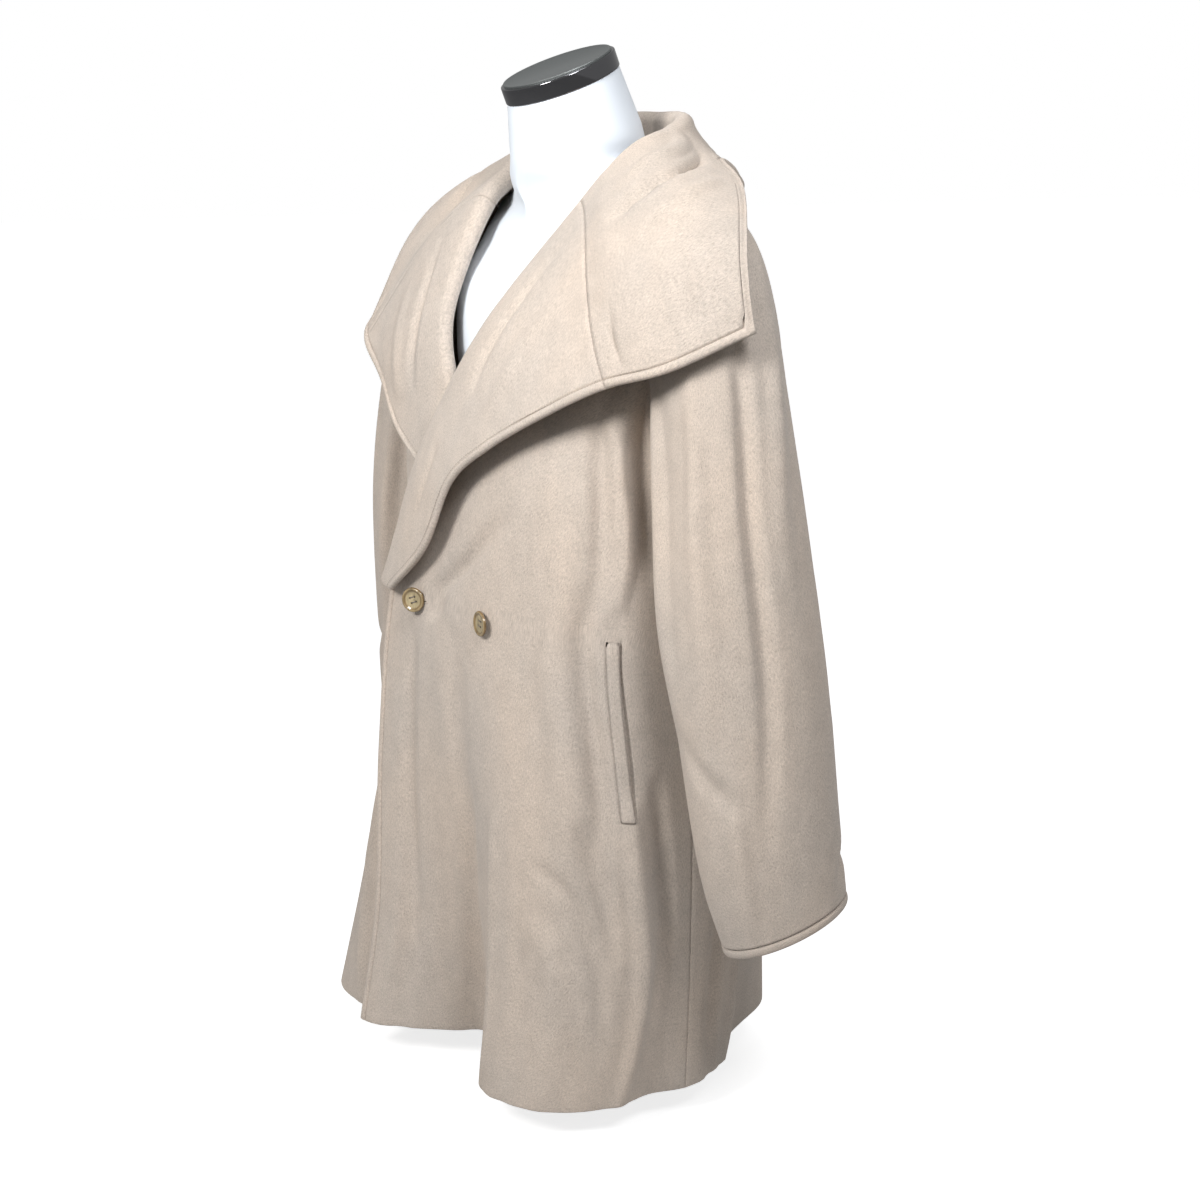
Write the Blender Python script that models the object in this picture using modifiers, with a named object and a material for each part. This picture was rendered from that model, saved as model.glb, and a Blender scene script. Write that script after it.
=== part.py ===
"""Wide-collared wool coat on a limbless dress form.

Metres, +Z up. The wearer would face -Y, and the wearer's left is +X. The origin lies on the floor, under
the middle of the form's foot. Each piece of cloth is one open surface, worked out from the sizes below and
given its thickness with Solidify. A piece is written for the left side, and the right one is its mirror
image with its own rows.
"""
import math
from collections import namedtuple

import bmesh
import bpy
import numpy as np
from mathutils import Vector

# ---------------------------------------------------------------- sizes (metres)
CLOTH = 0.003             # one layer of wool coating
TWO_LAYERS = 0.0045       # collar and lapels, which are faced with the same cloth
SEAM = 0.0003             # clear space between two pieces that are sewn together
SHOULDER_GAP = 0.0015     # how far the fronts and the back stop short of the shoulder seam
SIDE_GAP = 0.0008         # how far a piece stops short of a side seam or a lapel's seam
ARMHOLE_GAP = 0.0014      # how far a sleeve stops short of its armhole
CALM = 0.060              # length over which the folds die out next to a side seam
ARMHOLE_LOW = (0.229, -0.010, 0.660)
ARMHOLE_TOP = (0.232, 0.010, 0.890)
ARMHOLE_HALF_DEPTH = 0.056
START_Q = 0.02            # the station of the lapel's low end
UNDERARM_Q = 0.30         # station of the neckline on the row that meets the low end of the armhole
LAPEL_SEAM_Q = 0.50       # where the lapel is sewn to the collar
CORNER_Q = 0.65           # the collar's square corner
SHOULDER_Q = 0.75         # where the shoulder seam meets the neckline
BREAK_V = 0.56            # the fastening, where the lapel starts to turn
UNDERARM_V = 0.74         # row of the fronts and the back that meets the low end of the armhole
BACK_NECK_V = 0.88        # row of the back that meets its neckline at the centre
POCKET_LENGTH_V = (0.37, BREAK_V)
POCKET_LOW_SHARE, POCKET_HIGH_SHARE = 0.838, 0.798
WELT_HALF_SHARE = 0.0155  # half the welt's width, as a share of its row
WELT_CLEAR = 0.0009       # how far the welt's under side is moved out from its front
BUTTON_RADIUS = 0.0125
BUTTON_THICK = 0.0042
BUTTON_HOLE_RADIUS = 0.0012
BUTTON_HOLE_SPACING = 0.0026
BUTTON_CLEAR = 0.0005
BUTTON_V = 0.559          # the buttons' row, and their shares of its length
FASTENED_SHARE, SPARE_SHARE = 0.146, 0.441
FASTENED_TURN = math.radians(32)
SPARE_TURN = math.radians(-14)
FOOT_RADIUS = 0.088
FOOT_THICK = 0.012
FOOT_Y = 0.010
FOOT_ROUND = 0.002
POLE_RADIUS = 0.016
POLE_ROUND = 0.001
NECK_CAP_RADIUS = 0.0585
NECK_CAP_HEIGHT = 0.017
NECK_CAP_TILT = math.radians(22)
NECK_CAP_CENTRE = (0.0, -0.016, 1.004)
NECK_CAP_ROUND = 0.0012
NECK_TOP_THICK, NECK_TOP_RADIUS = 0.002, 0.0555
NECK_TOP_ROUND = 0.0006
BODY_MIDDLE = Vector((0.0, 0.0, 0.5))
COLLAR_MIDDLE = Vector((0.0, 0.0, 0.55))

# ---------------------------------------------------------------- fineness of the meshes
MERGE = 0.00001           # points closer than this are one
FRONT_COLUMNS, BACK_COLUMNS = 19, 11
FORM_COLUMNS = 24
DISC_SEGMENTS = 32
BUTTON_SEGMENTS = 20
SLEEVE_LEVELS = (0, 0.04, 0.08, 0.13, 0.18, 0.24, 0.30, 0.38, 0.46, 0.55, 0.64, 0.73, 0.82, 0.91, 1)
COLLAR_SHARES = (0, 0.04, 0.07, 0.10, 0.14, 0.21, 0.33, 0.46, 0.60, 0.74, 0.87, 1)

# ---------------------------------------------------------------- tables
# The button's outline from its axis under it to its axis over it, in shares of its radius and thickness.
BUTTON_PROFILE = ((0.0, 0.0), (0.72, 0.0), (1.0, 0.28), (1.0, 0.72), (0.93, 1.0), (0.80, 1.0),
                  (0.66, 0.72), (0.0, 0.62))
# One row per section of a front, from the hem up. "edge" is the front edge, "side" the side seam, "square"
# the power of the rounded corner between them. Above BREAK_V the edge follows the lapel.
FrontRow = namedtuple("FrontRow", "v edge_x edge_y edge_z side_x side_y side_z square")
LEFT_FRONT = (
    FrontRow(0.00, -0.100, -0.205, 0.036, 0.214, 0.000, 0.030, 3.2),
    FrontRow(0.18, -0.100, -0.185, 0.160, 0.222, -0.001, 0.155, 3.0),
    FrontRow(0.38, -0.101, -0.177, 0.330, 0.229, -0.004, 0.325, 2.8),
    FrontRow(0.56, -0.082, -0.168, 0.503, 0.231, -0.008, 0.485, 2.8),
    FrontRow(0.74, 0.000, -0.160, 0.660, 0.229, -0.010, 0.660, 3.0),
    FrontRow(0.88, 0.060, -0.060, 0.850, 0.231, 0.000, 0.785, 1.3),
    FrontRow(1.00, 0.095, 0.005, 0.910, 0.232, 0.010, 0.890, 1.15),
)
RIGHT_FRONT = (
    FrontRow(0.00, -0.100, -0.180, 0.036, 0.256, 0.000, 0.030, 3.6),
    FrontRow(0.18, -0.100, -0.164, 0.160, 0.250, -0.001, 0.155, 3.3),
    FrontRow(0.38, -0.092, -0.146, 0.330, 0.241, -0.004, 0.325, 2.9),
    FrontRow(0.56, -0.062, -0.130, 0.490, 0.231, -0.008, 0.485, 2.7),
    FrontRow(0.74, 0.000, -0.120, 0.660, 0.229, -0.010, 0.660, 2.7),
    FrontRow(0.88, 0.060, -0.060, 0.850, 0.231, 0.000, 0.785, 1.3),
    FrontRow(1.00, 0.095, 0.005, 0.910, 0.232, 0.010, 0.890, 1.15),
)
# One row per section of half the back, from the hem up. "middle" is the centre back.
BackRow = namedtuple("BackRow", "v middle_x middle_y middle_z square")
BACK = (
    BackRow(0.00, 0.0, 0.178, 0.064, 2.0),
    BackRow(0.18, 0.0, 0.173, 0.170, 2.1),
    BackRow(0.38, 0.0, 0.165, 0.325, 2.2),
    BackRow(0.56, 0.0, 0.157, 0.485, 2.4),
    BackRow(0.74, 0.0, 0.146, 0.690, 2.5),
    BackRow(0.88, 0.0, 0.098, 0.912, 1.8),
    BackRow(1.00, 0.0, 0.098, 0.912, 1.15),
)
# One row per large fold. "at" is its distance from the front edge (or the centre back), "half" half its
# width, "depth" how far it stands out at the hem, and "fades" the row at which it dies out.
Fold = namedtuple("Fold", "name at half depth fades power")
LEFT_FRONT_FOLDS = (
    Fold("sink beside the front edge", 0.125, 0.122, -0.096, 0.56, 1.7),
    Fold("swell over the thigh", 0.310, 0.120, 0.018, 0.80, 1.2),
    Fold("sink before the side seam", 0.420, 0.055, -0.008, 0.50, 1.0),
)
RIGHT_FRONT_FOLDS = (
    Fold("sink under the left front", 0.080, 0.130, -0.098, 0.56, 1.6),
    Fold("swell over the thigh", 0.310, 0.140, 0.034, 0.70, 1.0),
)
BACK_FOLDS = (
    Fold("swell beside the centre back", 0.085, 0.075, 0.012, 0.78, 1.0),
    Fold("sink towards the side", 0.200, 0.095, -0.024, 0.60, 1.2),
)
# One row per station of a lapel and the collar, from the fastening (q = 0) to the centre back (q = 1).
# "roll" is the top of the fold, "edge" the outer edge, "upright" how far the cloth stands up before it
# turns (0 flat, 1 upright), "stand" the height that it stands, "round" the inside radius of its turn,
# "lift" the swell next to the roll and "drop" the swell next to the edge.
Station = namedtuple("Station", "q roll_x roll_y roll_z edge_x edge_y edge_z upright stand round lift drop")
LEFT_COLLAR = (
    Station(0.02, -0.088, -0.166, 0.507, -0.052, -0.180, 0.502, 0.0, 0.000, 0.003, 0.000, 0.000),
    Station(0.10, -0.064, -0.162, 0.560, 0.022, -0.180, 0.553, 0.0, 0.000, 0.003, 0.002, 0.000),
    Station(0.20, -0.036, -0.153, 0.632, 0.074, -0.176, 0.626, 0.0, 0.000, 0.003, 0.006, 0.002),
    Station(0.30, -0.008, -0.136, 0.697, 0.127, -0.165, 0.663, 0.0, 0.000, 0.003, 0.012, 0.006),
    Station(0.40, 0.029, -0.102, 0.777, 0.190, -0.145, 0.697, 0.0, 0.002, 0.004, 0.024, 0.012),
    Station(0.50, 0.070, -0.026, 0.881, 0.252, -0.112, 0.729, 0.1, 0.006, 0.006, 0.036, 0.028),
    Station(0.58, 0.086, -0.004, 0.916, 0.306, -0.077, 0.748, 0.3, 0.010, 0.006, 0.050, 0.058),
    Station(0.65, 0.096, 0.012, 0.938, 0.345, -0.018, 0.781, 0.5, 0.015, 0.006, 0.048, 0.086),
)
LEFT_COLLAR_BACK = (
    Station(0.65, 0.096, 0.012, 0.938, 0.345, -0.018, 0.781, 0.5, 0.015, 0.006, 0.048, 0.086),
    Station(0.75, 0.097, 0.038, 0.953, 0.326, -0.016, 0.851, 0.7, 0.022, 0.006, 0.032, 0.050),
    Station(0.84, 0.080, 0.066, 0.965, 0.264, 0.020, 0.905, 0.8, 0.028, 0.006, 0.012, 0.030),
    Station(0.92, 0.042, 0.088, 0.970, 0.150, 0.096, 0.872, 0.9, 0.032, 0.006, 0.008, 0.010),
    Station(1.00, 0.000, 0.095, 0.970, 0.000, 0.146, 0.850, 0.9, 0.034, 0.006, 0.006, 0.006),
)
# The right lapel lies under the left one below the point where they cross.
RIGHT_COLLAR = (
    Station(0.02, -0.062, -0.130, 0.505, -0.044, -0.141, 0.499, 0.0, 0.000, 0.003, 0.000, 0.000),
    Station(0.10, -0.036, -0.128, 0.560, 0.006, -0.141, 0.548, 0.0, 0.000, 0.003, 0.000, 0.000),
    Station(0.20, -0.004, -0.124, 0.632, 0.056, -0.139, 0.612, 0.0, 0.000, 0.003, 0.000, 0.000),
    Station(0.30, 0.026, -0.117, 0.697, 0.126, -0.136, 0.655, 0.0, 0.000, 0.003, 0.004, 0.002),
    Station(0.40, 0.060, -0.104, 0.777, 0.182, -0.124, 0.697, 0.0, 0.002, 0.004, 0.012, 0.008),
    Station(0.50, 0.081, -0.046, 0.881, 0.243, -0.114, 0.731, 0.1, 0.006, 0.006, 0.016, 0.006),
    Station(0.58, 0.090, -0.010, 0.916, 0.294, -0.080, 0.747, 0.3, 0.010, 0.006, 0.028, 0.036),
    Station(0.65, 0.096, 0.012, 0.938, 0.332, -0.024, 0.778, 0.5, 0.015, 0.006, 0.040, 0.074),
)
RIGHT_COLLAR_BACK = (
    Station(0.65, 0.096, 0.012, 0.938, 0.332, -0.024, 0.778, 0.5, 0.015, 0.006, 0.040, 0.074),
    Station(0.75, 0.097, 0.038, 0.953, 0.304, -0.010, 0.852, 0.7, 0.022, 0.006, 0.028, 0.042),
    Station(0.84, 0.080, 0.066, 0.965, 0.254, 0.024, 0.898, 0.8, 0.028, 0.006, 0.012, 0.018),
    Station(0.92, 0.042, 0.088, 0.970, 0.150, 0.096, 0.872, 0.9, 0.032, 0.006, 0.008, 0.010),
    Station(1.00, 0.000, 0.095, 0.970, 0.000, 0.146, 0.850, 0.9, 0.034, 0.006, 0.006, 0.006),
)
# One row per ring of a sleeve, from the armhole to the cuff. "in" is the side next to the body, "out" the
# side away from it, "half" half the ring's depth, "slope" the rise of the ring towards the back.
SleeveRing = namedtuple("SleeveRing", "s in_x in_y in_z out_x out_y out_z half slope")
SLEEVE = (
    SleeveRing(0.00, 0.229, -0.010, 0.660, 0.232, 0.010, 0.890, 0.056, 0.00),
    SleeveRing(0.08, 0.237, -0.012, 0.642, 0.266, 0.006, 0.874, 0.057, 0.00),
    SleeveRing(0.18, 0.243, -0.012, 0.606, 0.300, -0.002, 0.836, 0.058, 0.02),
    SleeveRing(0.30, 0.249, -0.010, 0.550, 0.325, -0.006, 0.758, 0.061, 0.05),
    SleeveRing(0.46, 0.259, -0.006, 0.460, 0.347, -0.004, 0.630, 0.071, 0.10),
    SleeveRing(0.64, 0.274, 0.004, 0.370, 0.366, 0.004, 0.480, 0.074, 0.16),
    SleeveRing(0.82, 0.290, 0.012, 0.285, 0.380, 0.012, 0.340, 0.070, 0.24),
    SleeveRing(1.00, 0.302, 0.025, 0.230, 0.386, 0.025, 0.238, 0.062, 0.32),
)
# One row per section of the form, from the bottom of the torso up.
FormRow = namedtuple("FormRow", "z middle_x half_x front_y back_y square")
FORM = (
    FormRow(0.300, 0.0000, 0.136, -0.082, 0.092, 2.20),
    FormRow(0.380, 0.0000, 0.146, -0.088, 0.102, 2.20),
    FormRow(0.480, 0.0000, 0.130, -0.080, 0.088, 2.10),
    FormRow(0.560, 0.0000, 0.114, -0.076, 0.076, 2.10),
    FormRow(0.660, -0.0040, 0.130, -0.092, 0.084, 2.10),
    FormRow(0.740, -0.0120, 0.140, -0.098, 0.090, 2.20),
    FormRow(0.800, -0.0180, 0.140, -0.084, 0.086, 2.40),
    FormRow(0.850, -0.0105, 0.165, -0.052, 0.070, 1.80),
    FormRow(0.880, -0.0065, 0.1625, -0.052, 0.072, 1.00),
    FormRow(0.900, -0.0095, 0.0965, -0.060, 0.073, 1.30),
    FormRow(0.920, 0.0000, 0.063, -0.064, 0.073, 2.00),
    FormRow(0.945, 0.0000, 0.063, -0.065, 0.071, 2.00),
    FormRow(0.960, 0.0000, 0.061, -0.066, 0.067, 2.00),
)


# ---------------------------------------------------------------- curves and sections
def through(table, names, at):
    """The named columns at one place, read from a smooth curve through the table's rows."""
    keys = np.array([row[0] for row in table])
    values = np.array([[getattr(row, name) for name in names] for row in table])
    slopes = np.gradient(values, keys, axis=0)
    low = int(np.clip(np.searchsorted(keys, at) - 1, 0, len(keys) - 2))
    span = keys[low + 1] - keys[low]
    t = min(max((at - keys[low]) / span, 0.0), 1.0)
    start, end = values[low], values[low + 1]
    pull_start, pull_end = slopes[low] * span, slopes[low + 1] * span
    return (start * (1 + 2 * t) * (1 - t) ** 2 + pull_start * t * (1 - t) ** 2
            + end * t * t * (3 - 2 * t) + pull_end * t * t * (t - 1))


def unit(vector):
    return vector / np.linalg.norm(vector)


def bump(x):
    """1 at x = 0, falling smoothly to 0 at x = -1 and 1."""
    return 0.5 + 0.5 * math.cos(math.pi * x) if abs(x) < 1 else 0.0


def rounded_row(start, end, square, samples=97):
    """A quarter of a rounded rectangle, from start, where it runs along X, to end, where it runs along Y."""
    angle = np.linspace(0, math.pi / 2, samples)
    across = np.sin(angle) ** (2 / square)
    along = np.cos(angle) ** (2 / square)
    along[-1] = 0.0
    share = (across + 1 - along) / 2
    return np.stack([start[0] + (end[0] - start[0]) * across,
                     end[1] + (start[1] - end[1]) * along,
                     start[2] + (end[2] - start[2]) * share], axis=1)


def evenly_along(points, shares):
    """Points at the given shares of a polyline's length, and that length."""
    steps = np.linalg.norm(np.diff(points, axis=0), axis=1)
    length = np.concatenate([[0.0], np.cumsum(steps)])
    found = [np.interp(np.asarray(shares) * length[-1], length, points[:, axis]) for axis in range(3)]
    return np.stack(found, axis=1), length[-1]


def with_folds(row, length, shares, folds, v):
    """The row with its folds, which stand out at right angles to it in plan."""
    tangent = np.gradient(row, axis=0)
    outward = np.stack([-tangent[:, 1], tangent[:, 0], np.zeros(len(row))], axis=1)
    outward /= np.linalg.norm(outward[:, :2], axis=1)[:, None]
    if outward[len(row) // 2] @ row[len(row) // 2] < 0:
        outward = -outward
    for fold in folds:
        if v < fold.fades:
            depth = fold.depth * (1 - v / fold.fades) ** fold.power
            height = np.array([bump((share * length - fold.at) / fold.half)
                               * (1 - bump((1 - share) * length / CALM)) for share in shares])
            row = row + outward * (depth * height)[:, None]
    return row


# ---------------------------------------------------------------- collar and lapels
def station(tables, q):
    """The columns of a station between the fastening and the centre back."""
    front, back = tables
    names = Station._fields[1:]
    return through(front if q <= CORNER_Q else back, names, q)


def collar_frame(tables, q):
    """Start of the turned cloth, the way it stands, the way it turns, and its sizes at a station."""
    row = station(tables, q)
    roll, edge, upright, stand, radius = row[0:3], row[3:6], row[6], row[7], row[8]
    step = 0.01
    ahead = station(tables, min(q + step, 1.0))[0:3]
    behind = station(tables, max(q - step, START_Q))[0:3]
    along = unit(ahead - behind)
    if q > 1.0 - step:
        along = np.array([-1.0, 0.0, 0.0])
    stands = (1 - upright) * unit(roll - edge) + upright * np.array([0.0, 0.0, 1.0])
    stands = unit(stands - along * (stands @ along))
    turns = unit(np.cross(along, stands))
    if turns[:2] @ roll[:2] < 0:
        turns = -turns
    start = roll - stands * (stand + radius + TWO_LAYERS)
    return start, stands, turns, edge, stand, radius, row[9], row[10]


def collar_section(tables, q, shares, turn_steps=24, fall_steps=48):
    """The under side of the turned cloth at a station: up its stand, round the roll and down to the edge."""
    start, stands, turns, edge, stand, radius, lift, drop = collar_frame(tables, q)
    angle = np.linspace(0, math.pi, turn_steps)
    turned = (start + stands * stand
              + np.outer(np.sin(angle), stands) * radius
              + np.outer(1 - np.cos(angle), turns) * radius)
    top = turned[-1]
    reach = edge - top
    out = unit(turns - unit(reach) * (turns @ unit(reach)))
    control = top - stands * np.linalg.norm(reach) * 0.33 + out * lift
    before_edge = edge - reach * 0.33 + out * drop
    t = np.linspace(0, 1, fall_steps)[1:, None]
    fall = (top * (1 - t) ** 3 + control * 3 * t * (1 - t) ** 2
            + before_edge * 3 * t * t * (1 - t) + edge * t ** 3)
    path = np.concatenate([start[None, :], turned, fall])
    return evenly_along(path, shares)[0]


def neckline(tables, q):
    """Where the fronts and the back meet the turned cloth."""
    return collar_frame(tables, q)[0]


def front_station(v):
    """The station of the neckline that a front's row ends at."""
    if v <= UNDERARM_V:
        return START_Q + (UNDERARM_Q - START_Q) * (v - BREAK_V) / (UNDERARM_V - BREAK_V)
    return UNDERARM_Q + (SHOULDER_Q - UNDERARM_Q) * (v - UNDERARM_V) / (1 - UNDERARM_V)


def back_station(v):
    """The station of the neckline that a row of the back ends at."""
    return 1 - (1 - SHOULDER_Q) * (v - BACK_NECK_V) / (1 - BACK_NECK_V)


# ---------------------------------------------------------------- fronts, back and armhole
def armhole(angle):
    """A point of the armhole: angle 0 is its low end, pi its top; the front half has angles under pi."""
    low, top = np.array(ARMHOLE_LOW), np.array(ARMHOLE_TOP)
    middle = (low + top) / 2
    forward = np.array([0.0, -1.0, 0.0]) * ARMHOLE_HALF_DEPTH * math.sin(angle)
    return middle - (top - low) / 2 * math.cos(angle) + forward


def armhole_angle(v):
    return math.pi * (v - UNDERARM_V) / (1 - UNDERARM_V)


def side_point(rows, v, is_front):
    """The side seam, and above it the edge of the armhole."""
    if v <= UNDERARM_V:
        return through(rows, ("side_x", "side_y", "side_z"), v)
    return armhole(armhole_angle(v) if is_front else -armhole_angle(v))


def front_row(rows, folds, tables, v, shares):
    """A section of a front at row v, from its edge to its side."""
    if v < BREAK_V - MERGE:
        edge = through(rows, ("edge_x", "edge_y", "edge_z"), v)
    else:
        edge = neckline(tables, front_station(v))
    square = through(rows, ("square",), v)[0]
    row, length = evenly_along(rounded_row(edge, side_point(rows, v, True), square), shares)
    return with_folds(row, length, shares, folds, v)


def back_row(rows, tables, v, shares):
    """A section of half the back at row v, from the centre back, or the neckline, to its side."""
    if v <= BACK_NECK_V:
        middle = through(BACK, ("middle_x", "middle_y", "middle_z"), v)
        neck = neckline(tables, 1.0)
        blend = max(0.0, (v - UNDERARM_V) / (BACK_NECK_V - UNDERARM_V)) ** 2
        middle = middle * (1 - blend) + neck * blend
    else:
        middle = neckline(tables, back_station(v))
    square = through(BACK, ("square",), v)[0]
    row, length = evenly_along(rounded_row(middle, side_point(rows, v, False), square), shares)
    return with_folds(row, length, shares, BACK_FOLDS, v)


def sleeve_ring(s, angles):
    """A ring of the left sleeve; its first ring is the armhole."""
    names = SleeveRing._fields[1:]
    row = through(SLEEVE, names, s)
    inner, outer, half, slope = row[0:3], row[3:6], row[6], row[7]
    ring = []
    for angle in angles:
        forward = -math.sin(angle) * half
        point = (inner + outer) / 2 - (outer - inner) / 2 * math.cos(angle)
        ring.append(point + np.array([0.0, forward, forward * slope]))
    return np.array(ring)


# ---------------------------------------------------------------- making meshes
def material(name, colour, roughness, metallic=0.0):
    made = bpy.data.materials.new(name)
    made.use_nodes = True
    shader = made.node_tree.nodes["Principled BSDF"]
    shader.inputs["Base Color"].default_value = (*colour, 1.0)
    shader.inputs["Roughness"].default_value = roughness
    shader.inputs["Metallic"].default_value = metallic
    return made


def add_object(name, bm, collection, finish):
    mesh = bpy.data.meshes.new(name)
    bm.to_mesh(mesh)
    bm.free()
    made = bpy.data.objects.new(name, mesh)
    made.data.materials.append(finish)
    collection.objects.link(made)
    mesh.shade_smooth()
    return made


def shaped_grid(rows):
    """A grid whose points are those of the given rows."""
    count, across = len(rows), len(rows[0])
    bm = bmesh.new()
    bmesh.ops.create_grid(bm, x_segments=across - 1, y_segments=count - 1, size=1.0)
    for vert in bm.verts:
        column = round((vert.co.x + 1) / 2 * (across - 1))
        row = round((vert.co.y + 1) / 2 * (count - 1))
        vert.co = rows[row][column]
    return bm


def face_outward(bm, middle):
    """Turn the surface so that it faces away from the given point."""
    bm.normal_update()
    middle = Vector(middle)
    votes = sum(face.normal.dot(face.calc_center_median() - middle) for face in bm.faces)
    if votes < 0:
        bmesh.ops.reverse_faces(bm, faces=bm.faces)


def mirrored(rows):
    return [row * np.array([-1.0, 1.0, 1.0]) for row in rows]


def draw_in(rows, sides, amount):
    """Move the named edges of a grid of rows in from their seams."""
    rows = [row.copy() for row in rows]
    if "low" in sides:
        rows[0] += (rows[1] - rows[0]) / np.linalg.norm(rows[1] - rows[0], axis=1)[:, None] * amount
    if "high" in sides:
        rows[-1] += (rows[-2] - rows[-1]) / np.linalg.norm(rows[-2] - rows[-1], axis=1)[:, None] * amount
    for row in rows:
        if "first" in sides:
            row[0] += unit(row[1] - row[0]) * amount
        if "last" in sides:
            row[-1] += unit(row[-2] - row[-1]) * amount
    return rows


def give_thickness(made, thickness, outward):
    wall = made.modifiers.new("Wall", "SOLIDIFY")
    wall.thickness = thickness
    wall.offset = 1.0 if outward else -1.0


def spaced(low, high, count):
    return [low + (high - low) * i / (count - 1) for i in range(count)]


# ---------------------------------------------------------------- the pieces
def front_grid(side):
    """The rows of a front's points, written for the left side of the body."""
    is_left = side == "left"
    rows_table = LEFT_FRONT if is_left else RIGHT_FRONT
    folds = LEFT_FRONT_FOLDS if is_left else RIGHT_FRONT_FOLDS
    tables = LEFT_TABLES if is_left else RIGHT_TABLES
    shares = spaced(0, 1, FRONT_COLUMNS)
    rows = [front_row(rows_table, folds, tables, v, shares) for v in LOW_LEVELS + FRONT_LEVELS[1:]]
    return draw_in(draw_in(rows, ("first", "last"), SIDE_GAP), ("high",), SHOULDER_GAP)


def on_front(grid, v, share):
    """A point on a front's own surface, below its underarm row, and the way that the cloth faces there."""
    row = v / (LOW_LEVELS[1] - LOW_LEVELS[0])
    column = share * (FRONT_COLUMNS - 1)
    low, first = int(row), int(column)
    up, across = row - low, column - first
    corners = [grid[low + i][first + j] for i in (0, 1) for j in (0, 1)]
    below = corners[0] * (1 - across) + corners[1] * across
    above = corners[2] * (1 - across) + corners[3] * across
    outward = unit(np.cross(corners[1] - corners[0] + corners[3] - corners[2],
                            corners[2] - corners[0] + corners[3] - corners[1]))
    return below * (1 - up) + above * up, outward


def make_front(side, collection, finish):
    """A front, from its edge to the side seam and up to the shoulder seam."""
    rows = front_grid(side)
    if side == "right":
        rows = mirrored(rows)
    bm = shaped_grid(rows)
    face_outward(bm, BODY_MIDDLE)
    made = add_object("front_" + side, bm, collection, finish)
    give_thickness(made, CLOTH, outward=False)


def make_back(collection, finish):
    """Both halves of the back, joined at the centre seam below the neckline."""
    shares = spaced(0, 1, BACK_COLUMNS)
    levels = LOW_LEVELS + BACK_LEVELS[1:]
    halves = []
    for rows_table, tables in ((LEFT_FRONT, LEFT_TABLES), (RIGHT_FRONT, RIGHT_TABLES)):
        rows = [back_row(rows_table, tables, v, shares) for v in levels]
        rows = draw_in(draw_in(rows, ("last",), SIDE_GAP), ("high",), SHOULDER_GAP)
        for v, row in zip(levels, rows):
            if v > BACK_NECK_V:
                row[0] += unit(row[1] - row[0]) * SEAM
        halves.append(rows)
    bm = shaped_grid(halves[0])
    face_outward(bm, BODY_MIDDLE)
    other = shaped_grid(mirrored(halves[1]))
    face_outward(other, BODY_MIDDLE)
    other_mesh = bpy.data.meshes.new("other half")
    other.to_mesh(other_mesh)
    other.free()
    bm.from_mesh(other_mesh)
    bpy.data.meshes.remove(other_mesh)
    bmesh.ops.remove_doubles(bm, verts=bm.verts, dist=MERGE)
    made = add_object("back", bm, collection, finish)
    give_thickness(made, CLOTH, outward=False)


def make_sleeve(side, collection, finish):
    """A sleeve: one tube from the armhole to the cuff."""
    angles = [armhole_angle(v) for v in FRONT_LEVELS]
    angles += [2 * math.pi - armhole_angle(v) for v in BACK_LEVELS[-2::-1]]
    rows = [sleeve_ring(s, angles) for s in SLEEVE_LEVELS]
    rows = draw_in(rows, ("low",), ARMHOLE_GAP)
    if side == "right":
        rows = mirrored(rows)
    middle = sum(row.mean(axis=0) for row in rows) / len(rows)
    bm = shaped_grid(rows)
    face_outward(bm, middle)
    bmesh.ops.remove_doubles(bm, verts=bm.verts, dist=MERGE)
    made = add_object("sleeve_" + side, bm, collection, finish)
    give_thickness(made, CLOTH, outward=False)


def make_lapel(side, collection, finish):
    """The turned-out top of a front, from the fastening to the collar's seam."""
    tables = LEFT_TABLES if side == "left" else RIGHT_TABLES
    stations = [q for q in FRONT_STATIONS if q <= LAPEL_SEAM_Q + MERGE]
    rows = [collar_section(tables, q, COLLAR_SHARES) for q in stations]
    rows = draw_in(draw_in(rows, ("first",), SEAM), ("high",), SIDE_GAP)
    if side == "right":
        rows = mirrored(rows)
    bm = shaped_grid(rows)
    face_outward(bm, COLLAR_MIDDLE)
    made = add_object("lapel_" + side, bm, collection, finish)
    give_thickness(made, TWO_LAYERS, outward=True)


def make_collar(collection, finish):
    """The collar, from seam to seam round the back of the neck."""
    half = [q for q in FRONT_STATIONS if q >= LAPEL_SEAM_Q - MERGE]
    half += [back_station(v) for v in BACK_LEVELS[::-1] if v >= BACK_NECK_V - MERGE][1:]
    left = [collar_section(LEFT_TABLES, q, COLLAR_SHARES) for q in half]
    right = mirrored([collar_section(RIGHT_TABLES, q, COLLAR_SHARES) for q in half])
    rows = draw_in(draw_in(left + right[-2::-1], ("first",), SEAM), ("low", "high"), SIDE_GAP)
    bm = shaped_grid(rows)
    face_outward(bm, COLLAR_MIDDLE)
    made = add_object("collar", bm, collection, finish)
    give_thickness(made, TWO_LAYERS, outward=True)


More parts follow.
